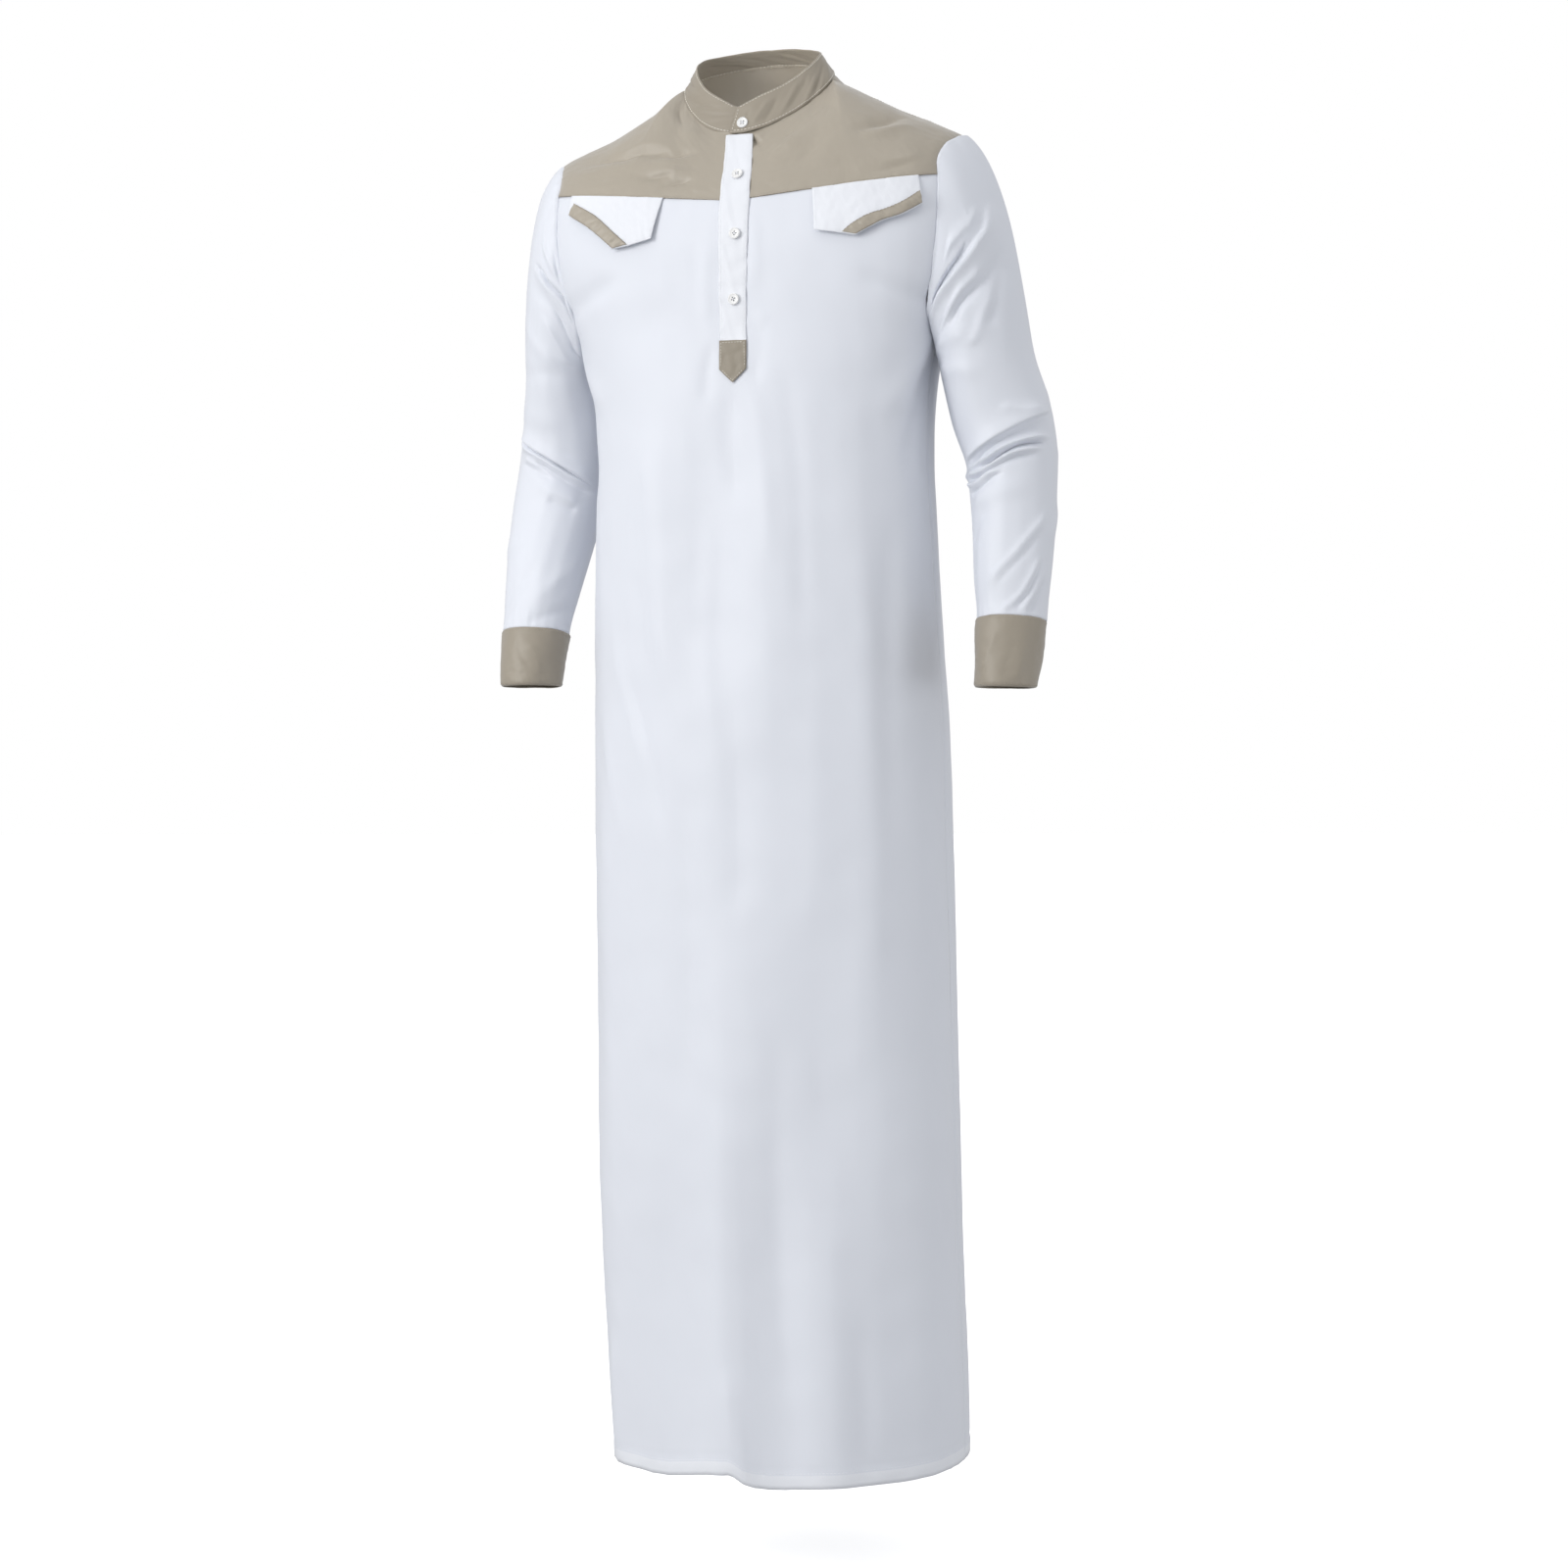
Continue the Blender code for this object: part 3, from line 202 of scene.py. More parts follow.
ALPHA_FRONT = curve((0, 0.3, NECK_SHARE, 0.75, 1.0), np.radians((66, 55, 16, 10, 6)))
ALPHA_BACK = curve((0, 0.3, NECK_SHARE, 0.75, 1.0), np.radians((58, 40, 8, 8, 6)))

def yoke_top(s, back):
    s = np.asarray(s, float)
    k = np.clip(s / NECK_SHARE, 0, 1)
    th = k * math.pi / 2
    n = neck(math.pi - th if back else th)
    w = np.clip((s - NECK_SHARE) / (1 - NECK_SHARE), 0, 1)
    x = SHOULDER_ROWS[0][0] + w * (SHOULDER_TIP[0] - SHOULDER_ROWS[0][0])
    sh = np.stack([x, SHOULDER["y"](x), SHOULDER["z"](x)], -1)
    return np.where((s < NECK_SHARE)[..., None], n, sh)

def seam_z(s, back=False):
    """Height of the yoke seam; s runs 0 to 1 from the centre to the armhole."""
    s = np.asarray(s, float)
    if back:
        return BACK_YOKE_Z - BACK_YOKE_DROP * s ** 2
    return YOKE_Z + YOKE_RISE * np.clip(s, 0, 1)

def yoke(s, v, back=False):
    """Yoke surface on +X: s 0 centre to 1 armhole, v 0 top edge to 1 yoke seam."""
    s, v = np.broadcast_arrays(np.asarray(s, float), np.asarray(v, float))
    zb = seam_z(s, back)
    edge = ARM["back" if back else "front"](zb)
    t = (2 - s * edge) if back else s * edge
    p3 = body(t, zb)
    up = (body(t, zb + 0.004) - p3) / 0.004
    up /= np.linalg.norm(up, axis=-1, keepdims=True)
    p0 = yoke_top(s, back)
    d = p3 - p0
    length = np.linalg.norm(d, axis=-1, keepdims=True)
    flat = d * [1, 1, 0]
    flat /= np.maximum(np.linalg.norm(flat, axis=-1, keepdims=True), 1e-9)
    al = (ALPHA_BACK if back else ALPHA_FRONT)(s)[..., None]
    go = flat * np.cos(al) + np.array([0, 0, -1.0]) * np.sin(al)
    p1 = p0 + go * length * 0.40
    p2 = p3 + up * length * 0.36
    v = v[..., None]
    return (1-v)**3 * p0 + 3*v*(1-v)**2 * p1 + 3*v*v*(1-v) * p2 + v**3 * p3

# ------------------------------------------------------------------ sleeves
TOP_Z = -0.300
RING_LEAN = 0.45   # share of the arm's forward lean that its rings follow
SLEEVE_COLS = ("z", "x", "y", "outer", "inner", "front", "back")
SLEEVE_ROWS = {
    "left": (   # wearer's left, +X
        (-0.300, 0.2285, 0.010, 0.0500, 0.0425, 0.0580, 0.0600),
        (-0.345, 0.2400, 0.015, 0.0540, 0.0450, 0.0560, 0.0560),
        (-0.385, 0.2520, 0.014, 0.0488, 0.0435, 0.0520, 0.0530),
        (-0.425, 0.2580, 0.006, 0.0435, 0.0435, 0.0480, 0.0480),
        (-0.470, 0.2600, -0.006, 0.0410, 0.0400, 0.0440, 0.0440),
        (-0.510, 0.2605, -0.018, 0.0388, 0.0366, 0.0408, 0.0408),
        (-0.5535, 0.2618, -0.029, 0.0347, 0.0335, 0.0368, 0.0368),
        (-0.5540, 0.2618, -0.0292, 0.0347, 0.0335, 0.0368, 0.0368),
        (-0.6190, 0.2592, -0.047, 0.0305, 0.0305, 0.0335, 0.0335),
    ),
    "right": (  # wearer's right, on -X; x is given as a distance
        (-0.300, 0.2240, 0.018, 0.0365, 0.0400, 0.0560, 0.0590),
        (-0.345, 0.2255, 0.030, 0.0450, 0.0435, 0.0550, 0.0560),
        (-0.385, 0.2280, 0.034, 0.0500, 0.0435, 0.0520, 0.0530),
        (-0.425, 0.2345, 0.026, 0.0485, 0.0440, 0.0480, 0.0480),
        (-0.470, 0.2405, 0.010, 0.0430, 0.0420, 0.0440, 0.0440),
        (-0.515, 0.2440, -0.008, 0.0370, 0.0380, 0.0400, 0.0400),
        (-0.556, 0.2450, -0.024, 0.0335, 0.0335, 0.0352, 0.0352),
        (-0.5565, 0.2450, -0.0242, 0.0335, 0.0335, 0.0352, 0.0352),
        (-0.611, 0.2440, -0.042, 0.0300, 0.0295, 0.0320, 0.0320),
    ),
}
CUFF_Z = {"left": -0.5537, "right": -0.5562}
CUFF_END = {"left": -0.619, "right": -0.611}

def arm_edge(n=240):
    """Armhole, closed, +X side: from the shoulder tip down the front to the underarm and up the back."""
    v = np.linspace(0, 1, n // 3)
    f_up = yoke(np.ones_like(v), v)
    b_up = yoke(np.ones_like(v), v, back=True)
    zf = np.linspace(seam_z(1.0), UNDERARM_Z, 4 * n)
    f_dn = body(ARM["front"](zf), zf)
    zb = np.linspace(seam_z(1.0, True), UNDERARM_Z, 4 * n)
    b_dn = body(2 - ARM["back"](zb), zb)
    def even(p, m):
        s = np.concatenate([[0], np.cumsum(np.linalg.norm(np.diff(p, axis=0), axis=1))])
        q = np.linspace(0, s[-1], m)
        return np.stack([np.interp(q, s, p[:, k]) for k in range(3)], -1), s[-1]
    front, lf = even(np.concatenate([f_up, f_dn[1:]]), n + 1)
    back, lb = even(np.concatenate([b_up, b_dn[1:]]), n + 1)
    return front, back, lf, lb
FRONT_EDGE, BACK_EDGE, ARM_F, ARM_B = arm_edge()

def arm_at(psi):
    """Point of the armhole: psi 0 at the shoulder tip, pi/2 the front, pi the underarm, 3pi/2 the back."""
    psi = np.mod(np.asarray(psi, float), 2 * math.pi)
    q = np.linspace(0, 1, len(FRONT_EDGE))
    f = np.stack([np.interp(np.clip(psi / math.pi, 0, 1), q, FRONT_EDGE[:, k]) for k in range(3)], -1)
    b = np.stack([np.interp(np.clip((2*math.pi - psi) / math.pi, 0, 1), q, BACK_EDGE[:, k]) for k in range(3)], -1)
    return np.where((psi <= math.pi)[..., None], f, b)

def sleeve_lower(side, psi, z):
    rows = columns(SLEEVE_COLS, SLEEVE_ROWS[side], "z")
    psi, z = np.broadcast_arrays(np.asarray(psi, float), np.asarray(z, float))
    c = np.stack([rows["x"](z), rows["y"](z), z], -1)
    e = 0.004
    cu = np.stack([rows["x"](z + e), rows["y"](z + e), z + e], -1)
    cd = np.stack([rows["x"](z - e), rows["y"](z - e), z - e], -1)
    ax = cd - cu
    ax /= np.linalg.norm(ax, axis=-1, keepdims=True)
    true = ax
    ax = ax * [1, RING_LEAN, 1]
    ax /= np.linalg.norm(ax, axis=-1, keepdims=True)
    fr = np.array([0, -1.0, 0]) - ax * (ax @ np.array([0, -1.0, 0]))[..., None]
    fr /= np.linalg.norm(fr, axis=-1, keepdims=True)
    ou = np.cross(ax, fr)
    ou *= np.sign(ou[..., :1])
    cs, sn = np.cos(psi), np.sin(psi)
    ro = np.where(cs > 0, rows["outer"](z), rows["inner"](z))
    rf = np.where(sn > 0, rows["front"](z), rows["back"](z))
    return c + ou * (cs * ro)[..., None] + fr * (sn * rf)[..., None], true

def sleeve(side, psi, v):
    """Sleeve surface on +X: v 0 at the armhole, 1 at the biceps section, 2 at the cuff seam, 3 at the cuff's edge."""
    psi, v = np.broadcast_arrays(np.asarray(psi, float), np.asarray(v, float))
    a = arm_at(psi)
    e, ax = sleeve_lower(side, psi, np.full_like(psi, TOP_Z))
    d = e - a
    length = np.linalg.norm(d, axis=-1, keepdims=True)
    cs, sn = np.cos(psi), np.sin(psi)
    t0 = np.stack([0.62 + 0.20 * np.maximum(cs, 0), -0.12 * sn, -0.55 + 0.09 * cs], -1)
    t0 /= np.linalg.norm(t0, axis=-1, keepdims=True)
    m0 = (0.45 + 0.20 * cs)[..., None]
    u = np.clip(v, 0, 1)[..., None]
    cap = ((2*u**3 - 3*u**2 + 1) * a + (u**3 - 2*u**2 + u) * t0 * length * m0
           + (3*u**2 - 2*u**3) * e + (u**3 - u**2) * ax * length * 0.85)
    zl = np.where(v <= 2, TOP_Z + (CUFF_Z[side] - TOP_Z) * np.clip(v - 1, 0, 1),
                  CUFF_Z[side] + (CUFF_END[side] - CUFF_Z[side]) * np.clip(v - 2, 0, 1))
    low, _ = sleeve_lower(side, psi, zl)
    return np.where((v <= 1)[..., None], cap, low)

# ------------------------------------------------------------------ folds of the body
FOLD_COLS = ("t0", "z0", "t1", "z1", "width", "depth")   # start and end on the section, half width and rise in metres
FOLD_ROWS = {
    "skirt ridge": (-0.03, -0.820, -0.060, -1.450, 0.032, 0.0085),
    "skirt trough beside it": (0.12, -0.980, 0.150, -1.450, 0.034, -0.0075),
    "right skirt ridge": (0.33, -1.080, 0.330, -1.450, 0.034, 0.0060),
    "right hip trough": (0.34, -0.780, 0.345, -1.120, 0.036, -0.0050),
    "left skirt trough": (-0.29, -1.050, -0.370, -1.450, 0.040, -0.0075),
    "left side ridge": (-0.62, -0.900, -0.640, -1.450, 0.050, 0.0060),
    "near side ridge": (0.72, -0.850, 0.740, -1.450, 0.046, 0.0065),
    "waist ridge": (0.20, -0.320, 0.110, -0.740, 0.034, 0.0045),
    "waist trough": (-0.125, -0.320, -0.070, -0.640, 0.030, -0.0045),
    "back centre trough": (2.00, -0.420, 1.960, -1.450, 0.050, -0.0080),
    "back ridge left": (1.68, -0.520, 1.640, -1.450, 0.042, 0.0080),
    "back ridge right": (-1.72, -0.480, -1.660, -1.450, 0.046, 0.0075),
    "back trough left": (1.36, -0.900, 1.380, -1.450, 0.040, -0.0065),
    "back trough right": (-1.40, -0.760, -1.360, -1.450, 0.044, -0.0060),
}
FINE_COLS = ("u0", "z0", "u1", "z1", "width", "depth")   # u is metres along the section from centre front
FINE_FRONT = {
    "dimple right of tab": (-0.0200, -0.276, -0.0260, -0.330, 0.0065, -0.0011),
    "dimple left of tab": (0.0300, -0.252, 0.0250, -0.312, 0.0060, -0.0013),
    "crease left of tab": (0.0330, -0.246, 0.0290, -0.300, 0.0045, 0.0009),
    "tab fold down": (0.0220, -0.318, 0.0400, -0.480, 0.0110, 0.0012),
    "tab fold down 2": (0.0000, -0.318, 0.0060, -0.430, 0.0090, -0.0012),
    "under placket 1": (0.0230, -0.150, 0.0260, -0.215, 0.0060, 0.0006),
    "under placket 2": (-0.0250, -0.180, -0.0250, -0.250, 0.0060, 0.0007),
    "belly line 1": (0.0560, -0.300, 0.0700, -0.560, 0.0100, -0.0010),
    "belly line 2": (-0.0200, -0.440, -0.0160, -0.720, 0.0110, 0.0009),
    "belly line 3": (-0.1050, -0.420, -0.1000, -0.660, 0.0130, -0.0010),
    "hip drag 1": (-0.140, -0.560, -0.100, -0.690, 0.0080, 0.0009),
    "hip drag 2": (-0.120, -0.600, -0.074, -0.760, 0.0070, -0.0010),
    "hip drag 3": (-0.160, -0.640, -0.128, -0.760, 0.0080, 0.0009),
    "belly dimple": (0.0030, -0.680, 0.0030, -0.840, 0.0150, -0.0012),
    "chest drag right": (-0.215, -0.236, -0.120, -0.205, 0.0110, -0.0018),
    "chest drag left": (0.212, -0.240, 0.130, -0.212, 0.0110, -0.0020),
    "side drag right": (-0.225, -0.262, -0.150, -0.330, 0.0140, 0.0024),
    "side drag left": (0.225, -0.262, 0.155, -0.345, 0.0140, 0.0024),
    "side drag left 2": (0.228, -0.285, 0.185, -0.400, 0.0120, -0.0024),
    "side drag right 2": (-0.228, -0.290, -0.190, -0.410, 0.0120, -0.0022),
    "waist line 1": (-0.085, -0.360, -0.070, -0.620, 0.0170, 0.0018),
    "waist line 2": (0.120, -0.380, 0.132, -0.980, 0.0200, 0.0022),
    "waist line 3": (0.165, -0.450, 0.160, -0.760, 0.0150, -0.0016),
    "thigh line 1": (-0.060, -0.700, -0.052, -1.020, 0.0160, -0.0018),
    "thigh line 2": (-0.145, -0.640, -0.150, -1.100, 0.0200, 0.0020),
    "thigh line 3": (0.080, -0.620, 0.074, -0.860, 0.0150, 0.0009),
    "knee line 1": (0.052, -0.930, 0.058, -1.380, 0.0130, -0.0010),
    "knee line 2": (-0.040, -1.000, -0.052, -1.390, 0.0130, -0.0013),
    "knee line 3": (0.150, -1.020, 0.146, -1.390, 0.0160, 0.0008),
    "shin line 1": (-0.100, -1.060, -0.108, -1.380, 0.0120, 0.0007),
    "shin line 2": (0.100, -1.120, 0.098, -1.390, 0.0120, 0.0005),
    "shin line 3": (0.010, -0.860, 0.016, -1.180, 0.0130, 0.0006),
    "hem pinch 1": (-0.010, -1.290, 0.004, -1.400, 0.0080, 0.0020),
    "hem pinch 2": (0.118, -1.250, 0.120, -1.400, 0.0140, -0.0009),
    "hem pinch 3": (-0.165, -1.270, -0.170, -1.400, 0.0130, 0.0022),
}
FINE_BACK = {   # u is metres from centre back, towards the wearer's left
    "shoulder fold left": (0.205, -0.150, 0.165, -0.300, 0.0120, 0.0030),
    "shoulder fold right": (-0.208, -0.148, -0.170, -0.285, 0.0120, 0.0028),
    "armhole drag left": (0.225, -0.250, 0.120, -0.330, 0.0150, -0.0026),
    "armhole drag right": (-0.226, -0.252, -0.112, -0.345, 0.0150, -0.0026),
    "blade line left": (0.085, -0.170, 0.070, -0.420, 0.0200, 0.0022),
    "blade line right": (-0.090, -0.160, -0.066, -0.400, 0.0220, 0.0024),
    "waist fold left": (0.140, -0.370, 0.120, -0.700, 0.0170, 0.0030),
    "waist fold right": (-0.134, -0.390, -0.128, -0.740, 0.0180, 0.0030),
    "waist trough": (0.030, -0.360, 0.036, -0.600, 0.0160, -0.0024),
    "waist trough 2": (-0.048, -0.420, -0.040, -0.690, 0.0160, -0.0022),
    "seat fold": (-0.100, -0.620, 0.020, -0.655, 0.0140, -0.0020),
    "seat fold 2": (0.110, -0.600, 0.030, -0.640, 0.0120, -0.0018),
    "leg line 1": (0.060, -0.780, 0.066, -1.330, 0.0180, -0.0028),
    "leg line 2": (-0.066, -0.820, -0.074, -1.390, 0.0200, 0.0030),
    "leg line 3": (0.180, -0.860, 0.184, -1.390, 0.0170, 0.0026),
    "leg line 4": (-0.170, -0.900, -0.176, -1.390, 0.0180, -0.0026),
    "hem pinch": (0.012, -1.220, 0.010, -1.400, 0.0120, 0.0026),
}
HEM_LINE = (  # height of the front hem against t: higher beside the skirt ridge, with a step down at it
    (-1.0, -0.7, -0.5, -0.43, -0.345, -0.23, -0.13, -0.035, 0.01, 0.045, 0.10, 0.155, 0.30, 0.60, 0.80, 1.0),
    (-1.3985, -1.3975, -1.3972, -1.3990, -1.3983, -1.3934, -1.3885, -1.3865, -1.3954, -1.3993, -1.4018, -1.4020, -1.3996,
     -1.4000, -1.3980, -1.3985),
)
HEM_BAND = 0.0170       # depth of the turned-up hem


def section_lengths(depth_key):
    """Length of the quarter arc against height, for steps in metres along a section."""
    out = []
    for z in np.linspace(HEM_Z, -0.12, 24):
        t = np.linspace(0, 1, 60) + (0 if depth_key == "front" else 1)
        p = body(t, np.full_like(t, z))
        out.append((z, np.linalg.norm(np.diff(p, axis=0), axis=1).sum()))
    z, l = np.array(out).T
    return curve(z, l)


ARC = {"front": section_lengths("front"), "back": section_lengths("back")}


def section_normal(t, z):
    """Outward level direction of the section at t."""
    e = 0.004
    d = body(t + e, z) - body(t - e, z)
    n = np.stack([-d[..., 1], d[..., 0], np.zeros_like(d[..., 0])], -1)
    n = -n
    n /= np.maximum(np.linalg.norm(n, axis=-1, keepdims=True), 1e-9)
    p = body(t, z)
    out = np.sign(n[..., 0] * (p[..., 0] - BODY["mid"](z)) + n[..., 1] * p[..., 1])
    return n * np.where(out == 0, 1, out)[..., None]


def fold_rise(t, z):
    """Sum of the large folds at t, z, as the solids have them."""
    rise = np.zeros_like(t)
    for t0, z0, t1, z1, width, depth in FOLD_ROWS.values():
        k = np.clip((z - z0) / (z1 - z0), 0, 1)
        gap = t - (t0 + (t1 - t0) * k)
        gap = (gap + 2) % 4 - 2
        arc = np.where(np.abs(t) <= 1, ARC["front"](z), ARC["back"](z))
        grow = smooth((z0 - z) / (0.45 * (z0 - z1)))
        tail = 1.0 if z1 < HEM_Z else smooth((z - z1) / (0.3 * (z0 - z1)))
        rise = rise + depth * np.exp(-(gap * arc / width) ** 2) * grow * tail
    return rise


def cloth(t, z):
    """Body surface with its large folds."""
    t, z = np.broadcast_arrays(np.asarray(t, float), np.asarray(z, float))
    return body(t, z) + section_normal(t, z) * fold_rise(t, z)[..., None]


def hem_height(t):
    """Height of the front hem."""
    return np.interp(t, *HEM_LINE)


def line_rise(q, rows, bend=0.10):
    """Soft troughs and ridges along short lines; q holds points (..., 2), each row its line, width and depth."""
    rise = np.zeros(q.shape[:-1])
    for n, (a0, b0, a1, b1, width, depth) in enumerate(rows):
        a, b = np.array([a0, b0]), np.array([a1, b1])
        ab = b - a
        length = np.hypot(*ab)
        k = ((q - a) @ ab) / length ** 2
        side = ((q - a) @ np.array([-ab[1], ab[0]])) / length
        side = side - bend * length * (1 if n % 2 else -1) * (np.clip(k, 0, 1) * (1 - np.clip(k, 0, 1)))
        ends = smooth((k + 0.12) / 0.34) * smooth((1.12 - k) / 0.34)
        rise += depth * np.exp(-(side / width) ** 2) * ends
    return rise


def crumple(a, b, seed, size, rows=26):
    """Low random waviness: a sum of level waves at angles, all from one seed; size is the usual wavelength."""
    rng = np.random.default_rng(seed)
    out = np.zeros(np.broadcast(a, b).shape)
    for _ in range(rows):
        ang, wl, ph = rng.uniform(0, math.pi), size * rng.uniform(0.6, 1.9), rng.uniform(0, 6.28)
        out += np.sin((a * math.cos(ang) + b * math.sin(ang)) * 6.2832 / wl + ph)
    return out / math.sqrt(rows)


# ------------------------------------------------------------------ materials
def principled(name, colour, rough, sheen=0.0, sheen_rough=0.4, coat=0.0):
    m = bpy.data.materials.new(name)
    m.use_nodes = True
    b = m.node_tree.nodes["Principled BSDF"]
    b.inputs["Base Color"].default_value = (*colour, 1)
    b.inputs["Roughness"].default_value = rough
    b.inputs["Sheen Weight"].default_value = sheen
    b.inputs["Sheen Roughness"].default_value = sheen_rough
    b.inputs["Coat Weight"].default_value = coat
    return m, m.node_tree, b


def cloth_material(name, colour, rough, sheen, weave, bump, shade, specular=0.35):
    """Fine plain weave: two crossed thread waves in the cloth's own metres (UV), slubs and a little colour variation."""
    m, nt, b = principled(name, colour, rough, sheen)
    b.inputs["Specular IOR Level"].default_value = specular
    L, N = nt.links, nt.nodes
    uv = N.new("ShaderNodeUVMap")
    uv.uv_map = "cloth"
    waves = []
    for axis in ("X", "Y"):
        w = N.new("ShaderNodeTexWave")
        w.wave_type = "BANDS"
        w.bands_direction = axis
        w.inputs["Scale"].default_value = weave
        w.inputs["Distortion"].default_value = 0.6
        w.inputs["Detail"].default_value = 1.0
        w.inputs["Detail Scale"].default_value = 0.12
        L.new(uv.outputs["UV"], w.inputs["Vector"])
        waves.append(w)
    mix = N.new("ShaderNodeMath")
    mix.operation = "MULTIPLY"
    L.new(waves[0].outputs["Fac"], mix.inputs[0])
    L.new(waves[1].outputs["Fac"], mix.inputs[1])
    slub = N.new("ShaderNodeTexNoise")
    slub.inputs["Scale"].default_value = 420.0
    slub.inputs["Detail"].default_value = 3.0
    stretch = N.new("ShaderNodeMapping")
    stretch.inputs["Scale"].default_value = (1.0, 0.18, 1.0)
    L.new(uv.outputs["UV"], stretch.inputs["Vector"])
    L.new(stretch.outputs["Vector"], slub.inputs["Vector"])
    height = N.new("ShaderNodeMath")
    height.operation = "ADD"
    L.new(mix.outputs[0], height.inputs[0])
    L.new(slub.outputs["Fac"], height.inputs[1])
    bp = N.new("ShaderNodeBump")
    bp.inputs["Strength"].default_value = bump
    bp.inputs["Distance"].default_value = 0.00025
    L.new(height.outputs[0], bp.inputs["Height"])
    L.new(bp.outputs["Normal"], b.inputs["Normal"])
    cloud = N.new("ShaderNodeTexNoise")
    cloud.inputs["Scale"].default_value = 9.0
    cloud.inputs["Detail"].default_value = 4.0
    L.new(uv.outputs["UV"], cloud.inputs["Vector"])
    ramp = N.new("ShaderNodeValToRGB")
    ramp.color_ramp.elements[0].position = 0.30
    ramp.color_ramp.elements[1].position = 0.72
    lo = tuple(c * (1 - shade) for c in colour)
    hi = tuple(min(1.0, c * (1 + shade * 0.6)) for c in colour)
    ramp.color_ramp.elements[0].color = (*lo, 1)
    ramp.color_ramp.elements[1].color = (*hi, 1)
    thread = N.new("ShaderNodeMix")
    thread.data_type = "FLOAT"
    thread.inputs["Factor"].default_value = 0.22
    L.new(cloud.outputs["Fac"], thread.inputs["A"])
    L.new(slub.outputs["Fac"], thread.inputs["B"])
    L.new(thread.outputs["Result"], ramp.inputs["Fac"])
    L.new(ramp.outputs["Color"], b.inputs["Base Color"])
    rr = N.new("ShaderNodeMapRange")
    rr.inputs["From Min"].default_value = 0.2
    rr.inputs["From Max"].default_value = 0.8
    rr.inputs["To Min"].default_value = rough - 0.05
    rr.inputs["To Max"].default_value = rough + 0.05
    L.new(slub.outputs["Fac"], rr.inputs["Value"])
    L.new(rr.outputs["Result"], b.inputs["Roughness"])
    return m


WHITE = cloth_material("white_cloth_weave", (0.725, 0.748, 0.805), 0.48, 0.16, 640.0, 0.10, 0.010)
WHITE2 = cloth_material("white_cloth_doubled", (0.775, 0.792, 0.835), 0.50, 0.16, 640.0, 0.10, 0.008)
TAN = cloth_material("tan_cloth_weave", (0.385, 0.343, 0.280), 0.42, 0.34, 560.0, 0.16, 0.035, 0.5)
# darker copies of the same tan cloth for the upright collar, cuffs and tab: painted shade, as these pieces turn away
# from the light from above
TAN_PAINTED_SHADE = cloth_material("tan_cloth_painted_shade", (0.322, 0.284, 0.228), 0.45, 0.26, 560.0, 0.16, 0.035, 0.45)
TAN_PAINTED_DEEP_SHADE = cloth_material("tan_tab_painted_shade", (0.280, 0.246, 0.194), 0.48, 0.22, 560.0, 0.16, 0.030, 0.40)


def thread_material(name, colour):
    m, nt, b = principled(name, colour, 0.55, 0.3)
    N, L = nt.nodes, nt.links
    geo = N.new("ShaderNodeTexCoord")
    w = N.new("ShaderNodeTexWave")
    w.bands_direction = "DIAGONAL"
    w.inputs["Scale"].default_value = 900.0
    bp = N.new("ShaderNodeBump")
    bp.inputs["Strength"].default_value = 0.4
    bp.inputs["Distance"].default_value = 0.0001
    L.new(geo.outputs["Object"], w.inputs["Vector"])
    L.new(w.outputs["Fac"], bp.inputs["Height"])
    L.new(bp.outputs["Normal"], b.inputs["Normal"])
    return m


THREAD_WHITE = thread_material("thread_white", (0.78, 0.79, 0.83))
THREAD_TAN = thread_material("thread_tan", (0.40, 0.35, 0.275))
THREAD_CREAM = thread_material("thread_cream", (0.86, 0.83, 0.75))
# dark thread laid right at the yoke's lower edge and along the trims' edges: painted seam shadow, a dark line standing
# in for the shade in the seams' gaps
THREAD_PAINTED_SEAM_SHADOW = thread_material("thread_brown", (0.19, 0.16, 0.12))


def pearl_material():
    m, nt, b = principled("button_pearl", (0.80, 0.80, 0.79), 0.34, coat=0.20)
    N, L = nt.nodes, nt.links
    b.inputs["Coat Roughness"].default_value = 0.12
    co = N.new("ShaderNodeTexCoord")
    n = N.new("ShaderNodeTexNoise")
    n.inputs["Scale"].default_value = 260.0
    n.inputs["Detail"].default_value = 3.0
    ramp = N.new("ShaderNodeValToRGB")
    ramp.color_ramp.elements[0].color = (0.74, 0.745, 0.75, 1)
    ramp.color_ramp.elements[1].color = (0.90, 0.895, 0.875, 1)
    L.new(co.outputs["Object"], n.inputs["Vector"])
    L.new(n.outputs["Fac"], ramp.inputs["Fac"])
    L.new(ramp.outputs["Color"], b.inputs["Base Color"])
    return m


PEARL = pearl_material()

# ------------------------------------------------------------------ shells
AREAS, OUTER_FACES = {}, {}


def normals(g, closed=False):
    du = np.gradient(g, axis=0)
    dv = (np.roll(g, -1, 1) - np.roll(g, 1, 1)) if closed else np.gradient(g, axis=1)
    n = np.cross(dv, du)
    return n / np.maximum(np.linalg.norm(n, axis=-1, keepdims=True), 1e-12)


def grid_area(g, closed=False):
    h = np.concatenate([g, g[:, :1]], 1) if closed else g
    a, b, c, d = h[:-1, :-1], h[1:, :-1], h[1:, 1:], h[:-1, 1:]
    return float((np.linalg.norm(np.cross(b - a, c - a), axis=-1) + np.linalg.norm(np.cross(c - a, d - a), axis=-1)).sum() / 2)


def run_lengths(g, axis):
    d = np.linalg.norm(np.diff(g, axis=axis), axis=-1)
    s = np.concatenate([np.zeros_like(np.take(d, [0], axis)), np.cumsum(d, axis)], axis)
    return s


